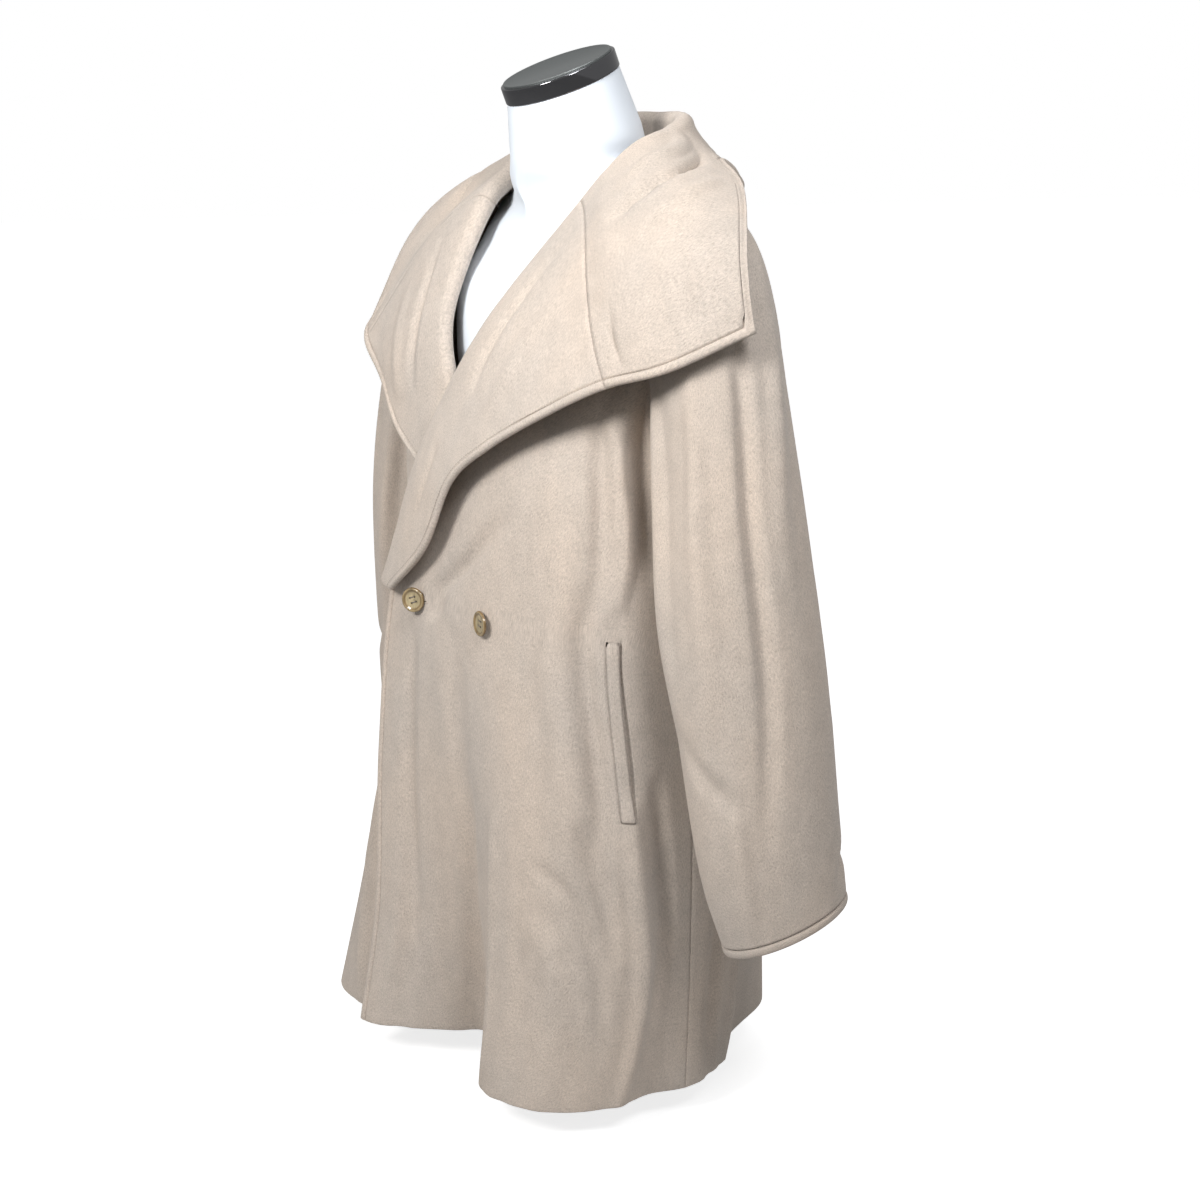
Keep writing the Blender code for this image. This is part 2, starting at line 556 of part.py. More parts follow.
def make_welt(side, collection, finish):
    """A pocket's narrow welt, made from the points of its front, moved out."""
    grid = front_grid(side)
    low, high = POCKET_LENGTH_V
    rows = []
    for v in [low] + [level for level in LOW_LEVELS if low < level <= high]:
        share = POCKET_LOW_SHARE + (POCKET_HIGH_SHARE - POCKET_LOW_SHARE) * (v - low) / (high - low)
        row = []
        for aside in (-WELT_HALF_SHARE, 0, WELT_HALF_SHARE):
            point, outward = on_front(grid, v, share + aside)
            row.append(point + outward * WELT_CLEAR)
        rows.append(np.array(row))
    if side == "right":
        rows = mirrored(rows)
    bm = shaped_grid(rows)
    face_outward(bm, BODY_MIDDLE)
    made = add_object("pocket_welt_" + side, bm, collection, finish)
    give_thickness(made, CLOTH, outward=True)


def lofted_tube(name, rings, collection, finish):
    """A closed smooth body through rings, with a flat cap at each end."""
    bm = shaped_grid(rings)
    middle = sum(ring.mean(axis=0) for ring in rings) / len(rings)
    face_outward(bm, middle)
    bmesh.ops.remove_doubles(bm, verts=bm.verts, dist=MERGE)
    ends = [edge for edge in bm.edges if edge.is_boundary]
    bmesh.ops.holes_fill(bm, edges=ends, sides=0)
    bmesh.ops.recalc_face_normals(bm, faces=bm.faces)
    return add_object(name, bm, collection, finish)


def form_ring(z, angles):
    middle_x, half_x, front_y, back_y, square = through(FORM, FormRow._fields[1:], z)
    middle_y, half_y = (front_y + back_y) / 2, (back_y - front_y) / 2
    cosines, sines = np.cos(angles), np.sin(angles)
    x = middle_x + np.sign(sines) * np.abs(sines) ** (2 / square) * half_x
    y = middle_y - np.sign(cosines) * np.abs(cosines) ** (2 / square) * half_y
    return np.stack([x, y, np.full(len(angles), z)], axis=1)


def make_form(collection, cloth_finish, steel_finish, grey_finish):
    """The torso with its neck, the ring and the top on the neck, the pole and the foot."""
    angles = np.array(spaced(0, 2 * math.pi, FORM_COLUMNS + 1))
    rings = [form_ring(z, angles) for z in FORM_LEVELS]
    tilt = np.array([0.0, -math.sin(NECK_CAP_TILT), math.cos(NECK_CAP_TILT)])
    top_middle = np.array(NECK_CAP_CENTRE) - tilt * (NECK_CAP_HEIGHT / 2 + SEAM)
    forward = np.array([0.0, -math.cos(NECK_CAP_TILT), -math.sin(NECK_CAP_TILT)])
    rings.append(np.array([top_middle + forward * math.cos(a) * NECK_CAP_RADIUS
                           + np.array([1.0, 0.0, 0.0]) * math.sin(a) * NECK_CAP_RADIUS for a in angles]))
    lofted_tube("form_torso", rings, collection, cloth_finish)
    make_disc("form_neck_ring", NECK_CAP_CENTRE, NECK_CAP_RADIUS, NECK_CAP_HEIGHT, NECK_CAP_TILT,
              collection, steel_finish, NECK_CAP_ROUND)
    top_centre = np.array(NECK_CAP_CENTRE) + tilt * (NECK_CAP_HEIGHT / 2 + SEAM + NECK_TOP_THICK / 2)
    make_disc("form_neck_top", top_centre, NECK_TOP_RADIUS, NECK_TOP_THICK, NECK_CAP_TILT,
              collection, grey_finish, NECK_TOP_ROUND)
    make_disc("form_foot", (0, FOOT_Y, FOOT_THICK / 2), FOOT_RADIUS, FOOT_THICK, 0, collection,
              steel_finish, FOOT_ROUND)
    low, high = FOOT_THICK + SEAM, FORM_LEVELS[0] - SEAM
    make_disc("form_pole", (0, FOOT_Y, (low + high) / 2), POLE_RADIUS, high - low, 0, collection,
              steel_finish, POLE_ROUND)


def make_disc(name, centre, radius, height, tilt, collection, finish, edge_round):
    bm = bmesh.new()
    bmesh.ops.create_cone(bm, cap_ends=True, segments=DISC_SEGMENTS, radius1=radius, radius2=radius,
                          depth=height)
    turn = np.array([[1, 0, 0],
                     [0, math.cos(tilt), -math.sin(tilt)],
                     [0, math.sin(tilt), math.cos(tilt)]])
    for vert in bm.verts:
        vert.co = turn @ np.array(vert.co) + np.array(centre)
    made = add_object(name, bm, collection, finish)
    rounded = made.modifiers.new("Round", "BEVEL")
    rounded.width = edge_round
    rounded.segments = 2
    rounded.limit_method = "ANGLE"
    made.data.set_sharp_from_angle(angle=math.radians(40))
    return made


def button_reach(turn):
    """How far the lowest point of a turned button lies under the middle of its flat side."""
    return max(r * BUTTON_RADIUS * math.sin(abs(turn)) - h * BUTTON_THICK * math.cos(turn)
               for r, h in BUTTON_PROFILE)


def make_button(name, v, share, turn, collection, cutters, finish):
    """A turned button with a raised rim and four holes, on the left front and turned about its thread."""
    mesh = bpy.data.meshes.new(name)
    bm = bmesh.new()
    points = [bm.verts.new((r * BUTTON_RADIUS, 0.0, h * BUTTON_THICK)) for r, h in BUTTON_PROFILE]
    for low, high in zip(points, points[1:]):
        bm.edges.new((low, high))
    bmesh.ops.spin(bm, geom=bm.verts[:] + bm.edges[:], axis=(0, 0, 1), cent=(0, 0, 0), dvec=(0, 0, 0),
                   angle=2 * math.pi, steps=BUTTON_SEGMENTS, use_merge=True, use_duplicate=False)
    bmesh.ops.remove_doubles(bm, verts=bm.verts, dist=MERGE)
    bmesh.ops.recalc_face_normals(bm, faces=bm.faces)
    bm.to_mesh(mesh)
    bm.free()
    made = bpy.data.objects.new(name, mesh)
    mesh.materials.append(finish)
    collection.objects.link(made)
    point, outward = on_front(front_grid("left"), v, share)
    centre = point + outward * (BUTTON_CLEAR + button_reach(turn))
    facing = Vector((outward[0] * math.cos(turn) - outward[1] * math.sin(turn),
                     outward[0] * math.sin(turn) + outward[1] * math.cos(turn), 0.0))
    made.location = centre
    made.rotation_euler = facing.to_track_quat("Z", "Y").to_euler()
    drill = bmesh.new()
    for x in (-1, 1):
        for y in (-1, 1):
            hole = bmesh.ops.create_cone(drill, cap_ends=True, segments=8, radius1=BUTTON_HOLE_RADIUS,
                                         radius2=BUTTON_HOLE_RADIUS, depth=4 * BUTTON_THICK)
            bmesh.ops.translate(drill, verts=hole["verts"],
                                vec=(x * BUTTON_HOLE_SPACING, y * BUTTON_HOLE_SPACING, 0))
    cutter = add_object(name + "_holes", drill, cutters, finish)
    cutter.location = made.location
    cutter.rotation_euler = made.rotation_euler
    cutter.hide_render = True
    cutter.display_type = "WIRE"
    cut = made.modifiers.new("Holes", "BOOLEAN")
    cut.object = cutter
    return made


# ---------------------------------------------------------------- rows and columns of the meshes
LOW_LEVELS = spaced(0, BREAK_V, 9) + spaced(BREAK_V, UNDERARM_V, 7)[1:]
FRONT_LEVELS = spaced(UNDERARM_V, 1, 10)
BACK_LEVELS = spaced(UNDERARM_V, BACK_NECK_V, 6) + spaced(BACK_NECK_V, 1, 8)[1:]
FRONT_STATIONS = [front_station(v) for v in LOW_LEVELS + FRONT_LEVELS[1:] if v >= BREAK_V]
FORM_LEVELS = tuple(row.z for row in FORM)
LEFT_TABLES = (LEFT_COLLAR, LEFT_COLLAR_BACK)
RIGHT_TABLES = (RIGHT_COLLAR, RIGHT_COLLAR_BACK)


def main():
    for old in list(bpy.data.objects):
        bpy.data.objects.remove(old, do_unlink=True)
    parts = bpy.data.collections.new("wool_coat_on_dress_form")
    cutters = bpy.data.collections.new("cutters")
    bpy.context.scene.collection.children.link(parts)
    bpy.context.scene.collection.children.link(cutters)
    wool = material("beige wool", (0.62, 0.50, 0.40), 0.95)
    linen = material("white form cover", (0.85, 0.88, 0.90), 0.7)
    chrome = material("polished chrome", (0.60, 0.60, 0.60), 0.08, 1.0)
    grey = material("brushed grey top", (0.35, 0.35, 0.35), 0.35, 0.8)
    horn = material("horn button", (0.35, 0.28, 0.16), 0.35)
    for side in ("left", "right"):
        make_front(side, parts, wool)
        make_sleeve(side, parts, wool)
        make_lapel(side, parts, wool)
        make_welt(side, parts, wool)
    make_back(parts, wool)
    make_collar(parts, wool)
    make_form(parts, linen, chrome, grey)
    make_button("button_fastened", BUTTON_V, FASTENED_SHARE, FASTENED_TURN, parts, cutters, horn)
    make_button("button_spare", BUTTON_V, SPARE_SHARE, SPARE_TURN, parts, cutters, horn)


main()
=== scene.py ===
"""Looks of a wide-collared wool coat that hangs on a limbless dress form.

The cloth is made again from the sizes that its solids have, on a finer grid, with its lesser folds, its
turned edges and its topstitching. Metres, +Z up; the wearer would face -Y, and their left is +X.
"""
import math
from collections import namedtuple

import bmesh
import bpy
import numpy as np
from bpy.props import FloatProperty, FloatVectorProperty, IntProperty, PointerProperty
from mathutils import Matrix, Vector


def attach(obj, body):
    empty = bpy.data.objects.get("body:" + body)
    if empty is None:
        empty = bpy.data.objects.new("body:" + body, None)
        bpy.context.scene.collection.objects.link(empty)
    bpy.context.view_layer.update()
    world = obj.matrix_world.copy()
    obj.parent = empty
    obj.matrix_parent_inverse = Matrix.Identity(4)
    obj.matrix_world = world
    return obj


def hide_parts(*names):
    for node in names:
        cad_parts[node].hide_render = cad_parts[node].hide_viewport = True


bl_info = {
    "name": "Wool coat on a dress form",
    "version": (1, 0, 0),
    "blender": (4, 5, 0),
    "location": "3D View > Sidebar > Coat",
    "description": "Cloth, buttons, dress form and stage of a wide-collared wool coat",
    "category": "Object",
}

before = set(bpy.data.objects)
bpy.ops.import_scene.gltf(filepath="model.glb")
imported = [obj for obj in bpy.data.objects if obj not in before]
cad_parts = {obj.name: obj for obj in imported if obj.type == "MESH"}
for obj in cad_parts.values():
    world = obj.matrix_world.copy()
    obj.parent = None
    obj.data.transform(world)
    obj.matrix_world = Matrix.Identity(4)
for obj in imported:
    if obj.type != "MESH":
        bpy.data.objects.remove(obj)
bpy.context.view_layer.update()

# ---------------------------------------------------------------- sizes (metres), as the solids have them
CLOTH = 0.003             # one layer of wool coating
TWO_LAYERS = 0.0045       # collar and lapels, which are faced with the same cloth
ARMHOLE_LOW = (0.229, -0.010, 0.660)
ARMHOLE_TOP = (0.232, 0.010, 0.890)
ARMHOLE_HALF_DEPTH = 0.056
START_Q = 0.02            # the station of the lapel's low end
UNDERARM_Q = 0.30         # station of the neckline on the row that meets the low end of the armhole
LAPEL_SEAM_Q = 0.50       # where the lapel is sewn to the collar
CORNER_Q = 0.65           # the collar's square corner
SHOULDER_Q = 0.75         # where the shoulder seam meets the neckline
BREAK_V = 0.56            # the fastening, where the lapel starts to turn
UNDERARM_V = 0.74         # row of the fronts and the back that meets the low end of the armhole
BACK_NECK_V = 0.88        # row of the back that meets its neckline at the centre
CALM = 0.060              # length over which the folds die out next to a side seam
POCKET_LENGTH_V = (0.37, 0.56)
POCKET_SHARES = (0.838, 0.798)
BUTTON_RADIUS = 0.0125
BUTTON_THICK = 0.0042
BUTTON_HOLE_RADIUS = 0.0012
BUTTON_HOLE_SPACING = 0.0026
BUTTON_V, BUTTON_CLEAR = 0.559, 0.0005
FASTENED_SHARE, SPARE_SHARE = 0.146, 0.441
FASTENED_TURN = math.radians(32)
SPARE_TURN = math.radians(-14)
FOOT_RADIUS = 0.088
FOOT_THICK = 0.012
FOOT_Y = 0.010
POLE_RADIUS = 0.016
NECK_CAP_RADIUS = 0.0585
NECK_CAP_HEIGHT = 0.017
NECK_CAP_TILT = math.radians(22)
NECK_CAP_CENTRE = (0.0, -0.016, 1.004)
NECK_TOP_RADIUS = 0.0555

# ---------------------------------------------------------------- fineness and finish of the cloth
MERGE = 0.00001
ROW_PITCH = 0.0065        # distance between two rows of a cloth's grid
GARMENT_HEIGHT = 0.87     # length of a front from the hem to the shoulder, for v = 0 to 1
SEAM_CALM = 0.014         # length over which lesser folds die out next to a seam
SEAM_ROUND = (0.0, 0.00008, 0.00025, 0.0005)
EDGE_ROUND = (0.0, 0.00010, 0.00040, 0.0010, 0.0018)
EDGE_BLOCK = EDGE_ROUND + (0.0030, 0.0045, 0.0060, 0.0074, 0.0081, 0.0086, 0.0091, 0.0098, 0.0115)
STITCH_AT = 0.0086        # the topstitching's distance from an edge
STITCH_COLUMN = EDGE_BLOCK.index(STITCH_AT)
GROOVE_HALF = 0.0014      # half the width of the groove that the topstitching pulls in
POCKET_BLOCK = (-0.0130, -0.0090, -0.0074, -0.0067, -0.0062, -0.0035, -0.0005, 0.0025, 0.0050, 0.0058)
POCKET_MOUTH = (0.06, 0.30, 0.70, 0.94, 1.0)
POCKET_AFTER = (0.0015, 0.0040, 0.0080)
POCKET_GAPE = 0.0052
POCKET_SPREAD = 0.0120
POCKET_SPREAD_V = 0.05    # rows past the pocket's ends over which its columns spread
POCKET_LEAST = 0.0004
POCKET_SINK = 0.006       # how far the cloth inside the mouth lies back
POCKET_LIP_SINK = 0.0008
EDGE_COLUMNS = 60         # columns between the turned edge and the pocket, with both ends
SIDE_COLUMNS = 16         # the same between the pocket and the side seam
BACK_COLUMNS = 52
TURN_COLUMNS = 32
SLEEVE_ROWS = 98
SLEEVE_COLUMNS = 129

# ---------------------------------------------------------------- tables
# One row per section of a front, from the hem up. "edge" is the front edge, "side" the side seam, "square"
# the power of the rounded corner between them. Above BREAK_V the edge follows the lapel.
FrontRow = namedtuple("FrontRow", "v edge_x edge_y edge_z side_x side_y side_z square")
LEFT_FRONT = (
    FrontRow(0.00, -0.100, -0.205, 0.036, 0.214, 0.000, 0.030, 3.2),
    FrontRow(0.18, -0.100, -0.185, 0.160, 0.222, -0.001, 0.155, 3.0),
    FrontRow(0.38, -0.101, -0.177, 0.330, 0.229, -0.004, 0.325, 2.8),
    FrontRow(0.56, -0.082, -0.168, 0.503, 0.231, -0.008, 0.485, 2.8),
    FrontRow(0.74, 0.000, -0.160, 0.660, 0.229, -0.010, 0.660, 3.0),
    FrontRow(0.88, 0.060, -0.060, 0.850, 0.231, 0.000, 0.785, 1.3),
    FrontRow(1.00, 0.095, 0.005, 0.910, 0.232, 0.010, 0.890, 1.15),
)
RIGHT_FRONT = (
    FrontRow(0.00, -0.100, -0.180, 0.036, 0.256, 0.000, 0.030, 3.6),
    FrontRow(0.18, -0.100, -0.164, 0.160, 0.250, -0.001, 0.155, 3.3),
    FrontRow(0.38, -0.092, -0.146, 0.330, 0.241, -0.004, 0.325, 2.9),
    FrontRow(0.56, -0.062, -0.130, 0.490, 0.231, -0.008, 0.485, 2.7),
    FrontRow(0.74, 0.000, -0.120, 0.660, 0.229, -0.010, 0.660, 2.7),
    FrontRow(0.88, 0.060, -0.060, 0.850, 0.231, 0.000, 0.785, 1.3),
    FrontRow(1.00, 0.095, 0.005, 0.910, 0.232, 0.010, 0.890, 1.15),
)
# One row per section of half the back, from the hem up. "middle" is the centre back.
BackRow = namedtuple("BackRow", "v middle_x middle_y middle_z square")
BACK = (
    BackRow(0.00, 0.0, 0.178, 0.064, 2.0),
    BackRow(0.18, 0.0, 0.173, 0.170, 2.1),
    BackRow(0.38, 0.0, 0.165, 0.325, 2.2),
    BackRow(0.56, 0.0, 0.157, 0.485, 2.4),
    BackRow(0.74, 0.0, 0.146, 0.690, 2.5),
    BackRow(0.88, 0.0, 0.098, 0.912, 1.8),
    BackRow(1.00, 0.0, 0.098, 0.912, 1.15),
)
# One row per large fold. "at" is its distance from the front edge (or the centre back), "half" half its
# width, "depth" how far it stands out at the hem, and "fades" the row at which it dies out.
Fold = namedtuple("Fold", "name at half depth fades power")
LEFT_FRONT_FOLDS = (
    Fold("sink beside the front edge", 0.125, 0.122, -0.096, 0.56, 1.7),
    Fold("swell over the thigh", 0.310, 0.120, 0.018, 0.80, 1.2),
    Fold("sink before the side seam", 0.420, 0.055, -0.008, 0.50, 1.0),
)
RIGHT_FRONT_FOLDS = (
    Fold("sink under the left front", 0.080, 0.130, -0.098, 0.56, 1.6),
    Fold("swell over the thigh", 0.310, 0.140, 0.034, 0.70, 1.0),
)
BACK_FOLDS = (
    Fold("swell beside the centre back", 0.085, 0.075, 0.012, 0.78, 1.0),
    Fold("sink towards the side", 0.200, 0.095, -0.024, 0.60, 1.2),
)
# One row per station of a lapel and the collar, from the fastening (q = 0) to the centre back (q = 1).
# "roll" is the top of the fold, "edge" the outer edge, "upright" how far the cloth stands up before it
# turns (0 flat, 1 upright), "stand" the height that it stands, "round" the inside radius of its turn,
# "lift" the swell next to the roll and "drop" the swell next to the edge.
Station = namedtuple("Station", "q roll_x roll_y roll_z edge_x edge_y edge_z upright stand round lift drop")
LEFT_COLLAR = (
    Station(0.02, -0.088, -0.166, 0.507, -0.052, -0.180, 0.502, 0.0, 0.000, 0.003, 0.000, 0.000),
    Station(0.10, -0.064, -0.162, 0.560, 0.022, -0.180, 0.553, 0.0, 0.000, 0.003, 0.002, 0.000),
    Station(0.20, -0.036, -0.153, 0.632, 0.074, -0.176, 0.626, 0.0, 0.000, 0.003, 0.006, 0.002),
    Station(0.30, -0.008, -0.136, 0.697, 0.127, -0.165, 0.663, 0.0, 0.000, 0.003, 0.012, 0.006),
    Station(0.40, 0.029, -0.102, 0.777, 0.190, -0.145, 0.697, 0.0, 0.002, 0.004, 0.024, 0.012),
    Station(0.50, 0.070, -0.026, 0.881, 0.252, -0.112, 0.729, 0.1, 0.006, 0.006, 0.036, 0.028),
    Station(0.58, 0.086, -0.004, 0.916, 0.306, -0.077, 0.748, 0.3, 0.010, 0.006, 0.050, 0.058),
    Station(0.65, 0.096, 0.012, 0.938, 0.345, -0.018, 0.781, 0.5, 0.015, 0.006, 0.048, 0.086),
    Station(0.75, 0.097, 0.038, 0.953, 0.352, 0.050, 0.795, 0.7, 0.022, 0.006, 0.036, 0.072),
    Station(0.84, 0.080, 0.066, 0.965, 0.262, 0.110, 0.820, 0.8, 0.028, 0.006, 0.018, 0.044),
    Station(0.92, 0.042, 0.088, 0.970, 0.135, 0.128, 0.852, 0.9, 0.032, 0.006, 0.008, 0.014),
    Station(1.00, 0.000, 0.095, 0.970, 0.000, 0.146, 0.850, 0.9, 0.034, 0.006, 0.006, 0.006),
)
# The right lapel lies under the left one below the point where they cross.
RIGHT_COLLAR = (
    Station(0.02, -0.062, -0.130, 0.505, -0.044, -0.141, 0.499, 0.0, 0.000, 0.003, 0.000, 0.000),
    Station(0.10, -0.036, -0.128, 0.560, 0.006, -0.141, 0.548, 0.0, 0.000, 0.003, 0.000, 0.000),
    Station(0.20, -0.004, -0.124, 0.632, 0.056, -0.139, 0.612, 0.0, 0.000, 0.003, 0.000, 0.000),
    Station(0.30, 0.026, -0.117, 0.697, 0.126, -0.136, 0.655, 0.0, 0.000, 0.003, 0.004, 0.002),
    Station(0.40, 0.060, -0.104, 0.777, 0.182, -0.124, 0.697, 0.0, 0.002, 0.004, 0.012, 0.008),
    Station(0.50, 0.081, -0.046, 0.881, 0.243, -0.114, 0.731, 0.1, 0.006, 0.006, 0.016, 0.006),
    Station(0.58, 0.090, -0.010, 0.916, 0.294, -0.080, 0.747, 0.3, 0.010, 0.006, 0.028, 0.036),
    Station(0.65, 0.096, 0.012, 0.938, 0.332, -0.024, 0.778, 0.5, 0.015, 0.006, 0.040, 0.074),
    Station(0.75, 0.097, 0.038, 0.953, 0.340, 0.042, 0.795, 0.7, 0.022, 0.006, 0.034, 0.066),
    Station(0.84, 0.080, 0.066, 0.965, 0.256, 0.108, 0.820, 0.8, 0.028, 0.006, 0.018, 0.042),
    Station(0.92, 0.042, 0.088, 0.970, 0.135, 0.128, 0.852, 0.9, 0.032, 0.006, 0.008, 0.014),
    Station(1.00, 0.000, 0.095, 0.970, 0.000, 0.146, 0.850, 0.9, 0.034, 0.006, 0.006, 0.006),
)
# Past the square corner a section of the collar ends on its side edge, before the place that "edge" names.
Trim = namedtuple("Trim", "q share")
COLLAR_TRIM = (
    Trim(0.65, 1.00), Trim(0.68, 0.76), Trim(0.71, 0.54), Trim(0.75, 0.34), Trim(0.84, 0.42),
    Trim(0.92, 0.74), Trim(1.00, 1.00),
)
# One row per ring of a sleeve, from the armhole to the cuff. "in" is the side next to the body, "out" the
# side away from it, "half" half the ring's depth, "slope" the rise of the ring towards the back.
SleeveRing = namedtuple("SleeveRing", "s in_x in_y in_z out_x out_y out_z half slope")
SLEEVE = (
    SleeveRing(0.00, 0.229, -0.010, 0.660, 0.232, 0.010, 0.890, 0.056, 0.00),
    SleeveRing(0.08, 0.237, -0.012, 0.642, 0.266, 0.006, 0.874, 0.057, 0.00),
    SleeveRing(0.18, 0.243, -0.012, 0.606, 0.300, -0.002, 0.836, 0.058, 0.02),
    SleeveRing(0.30, 0.249, -0.010, 0.550, 0.325, -0.006, 0.758, 0.061, 0.05),
    SleeveRing(0.46, 0.259, -0.006, 0.460, 0.347, -0.004, 0.630, 0.071, 0.10),
    SleeveRing(0.64, 0.274, 0.004, 0.370, 0.366, 0.004, 0.480, 0.074, 0.16),
    SleeveRing(0.82, 0.290, 0.012, 0.285, 0.380, 0.012, 0.340, 0.070, 0.24),
    SleeveRing(1.00, 0.302, 0.025, 0.230, 0.386, 0.025, 0.238, 0.062, 0.32),
)
# One row per section of the form, from the bottom of the torso up.
FormRow = namedtuple("FormRow", "z middle_x half_x front_y back_y square")
FORM = (
    FormRow(0.300, 0.0000, 0.136, -0.082, 0.092, 2.20),
    FormRow(0.380, 0.0000, 0.146, -0.088, 0.102, 2.20),
    FormRow(0.480, 0.0000, 0.130, -0.080, 0.088, 2.10),
    FormRow(0.560, 0.0000, 0.114, -0.076, 0.076, 2.10),
    FormRow(0.660, -0.0040, 0.130, -0.092, 0.084, 2.10),
    FormRow(0.740, -0.0120, 0.140, -0.098, 0.090, 2.20),
    FormRow(0.800, -0.0180, 0.140, -0.084, 0.086, 2.40),
    FormRow(0.850, -0.0105, 0.165, -0.052, 0.070, 1.80),
    FormRow(0.880, -0.0065, 0.1625, -0.052, 0.072, 1.00),
    FormRow(0.900, -0.0095, 0.0965, -0.060, 0.073, 1.30),
    FormRow(0.920, 0.0000, 0.063, -0.064, 0.073, 2.00),
    FormRow(0.945, 0.0000, 0.063, -0.065, 0.071, 2.00),
    FormRow(0.960, 0.0000, 0.061, -0.066, 0.067, 2.00),
)


# ---------------------------------------------------------------- curves and sections
def through(table, names, at):
    """The named columns at one place, read from a smooth curve through the table's rows."""
    keys = np.array([row[0] for row in table])
    values = np.array([[getattr(row, name) for name in names] for row in table])
    slopes = np.gradient(values, keys, axis=0)
    low = int(np.clip(np.searchsorted(keys, at) - 1, 0, len(keys) - 2))
    span = keys[low + 1] - keys[low]
    t = min(max((at - keys[low]) / span, 0.0), 1.0)
    start, end = values[low], values[low + 1]
    pull_start, pull_end = slopes[low] * span, slopes[low + 1] * span
    return (start * (1 + 2 * t) * (1 - t) ** 2 + pull_start * t * (1 - t) ** 2
            + end * t * t * (3 - 2 * t) + pull_end * t * t * (t - 1))


def unit(vector):
    return vector / np.linalg.norm(vector)


def bump(x):
    """1 at x = 0, falling smoothly to 0 at x = -1 and 1."""
    return 0.5 + 0.5 * math.cos(math.pi * x) if abs(x) < 1 else 0.0


def rounded_row(start, end, square, samples=3001):
    """A quarter of a rounded rectangle, from start, where it runs along X, to end, where it runs along Y."""
    angle = np.linspace(0, math.pi / 2, samples)
    across = np.sin(angle) ** (2 / square)
    along = np.cos(angle) ** (2 / square)
    along[-1] = 0.0
    share = (across + 1 - along) / 2
    return np.stack([start[0] + (end[0] - start[0]) * across,
                     end[1] + (start[1] - end[1]) * along,
                     start[2] + (end[2] - start[2]) * share], axis=1)


def evenly_along(points, shares):
    """Points at the given shares of a polyline's length, and that length."""
    steps = np.linalg.norm(np.diff(points, axis=0), axis=1)
    length = np.concatenate([[0.0], np.cumsum(steps)])
    found = [np.interp(np.asarray(shares) * length[-1], length, points[:, axis]) for axis in range(3)]
    return np.stack(found, axis=1), length[-1]


def line_length(points):
    return float(np.linalg.norm(np.diff(points, axis=0), axis=1).sum())


def with_folds(row, length, shares, folds, v):
    """The row with its folds, which stand out at right angles to it in plan."""
    tangent = np.gradient(row, axis=0)
    outward = np.stack([-tangent[:, 1], tangent[:, 0], np.zeros(len(row))], axis=1)
    outward /= np.linalg.norm(outward[:, :2], axis=1)[:, None]
    if outward[len(row) // 2] @ row[len(row) // 2] < 0:
        outward = -outward
    for fold in folds:
        if v < fold.fades:
            depth = fold.depth * (1 - v / fold.fades) ** fold.power
            height = np.array([bump((share * length - fold.at) / fold.half)
                               * (1 - bump((1 - share) * length / CALM)) for share in shares])
            row = row + outward * (depth * height)[:, None]
    return row


# ---------------------------------------------------------------- collar and lapels
def station(table, q):
    """The columns of a station between the fastening and the centre back."""
    return through(table, Station._fields[1:], q)


def trimmed(q):
    """The share of a section that is left at a station."""
    return 1.0 if q <= CORNER_Q else through(COLLAR_TRIM, ("share",), q)[0]


def collar_frame(table, q):
    """Start of the turned cloth, the way it stands, the way it turns, and its sizes at a station."""
    row = station(table, q)
    roll, edge, upright, stand, radius = row[0:3], row[3:6], row[6], row[7], row[8]
    step = 0.01
    ahead = station(table, min(q + step, 1.0))[0:3]
    behind = station(table, max(q - step, START_Q))[0:3]
    along = unit(ahead - behind)
    if q > 1.0 - step:
        along = np.array([-1.0, 0.0, 0.0])
    stands = (1 - upright) * unit(roll - edge) + upright * np.array([0.0, 0.0, 1.0])
    stands = unit(stands - along * (stands @ along))
    turns = unit(np.cross(along, stands))
    if turns[:2] @ roll[:2] < 0:
        turns = -turns
    start = roll - stands * (stand + radius + TWO_LAYERS)
    return start, stands, turns, edge, stand, radius, row[9], row[10]


def collar_section(table, q, shares, turn_steps=24, fall_steps=48):
    """The under side of the turned cloth at a station: up its stand, round the roll and down to the edge."""
    start, stands, turns, edge, stand, radius, lift, drop = collar_frame(table, q)
    angle = np.linspace(0, math.pi, turn_steps)
    turned = (start + stands * stand
              + np.outer(np.sin(angle), stands) * radius
              + np.outer(1 - np.cos(angle), turns) * radius)
    top = turned[-1]
    reach = edge - top
    out = unit(turns - unit(reach) * (turns @ unit(reach)))
    control = top - stands * np.linalg.norm(reach) * 0.33 + out * lift
    before_edge = edge - reach * 0.33 + out * drop
    t = np.linspace(0, 1, fall_steps)[1:, None]
    fall = (top * (1 - t) ** 3 + control * 3 * t * (1 - t) ** 2
            + before_edge * 3 * t * t * (1 - t) + edge * t ** 3)
    path = np.concatenate([start[None, :], turned, fall])
    return evenly_along(path, np.asarray(shares) * trimmed(q))[0]


def neckline(table, q):
    """Where the fronts and the back meet the turned cloth."""
    return collar_frame(table, q)[0]


def front_station(v):
    """The station of the neckline that a front's row ends at."""
    if v <= UNDERARM_V:
        return START_Q + (UNDERARM_Q - START_Q) * (v - BREAK_V) / (UNDERARM_V - BREAK_V)
    return UNDERARM_Q + (SHOULDER_Q - UNDERARM_Q) * (v - UNDERARM_V) / (1 - UNDERARM_V)


def back_station(v):
    """The station of the neckline that a row of the back ends at."""
    return 1 - (1 - SHOULDER_Q) * (v - BACK_NECK_V) / (1 - BACK_NECK_V)


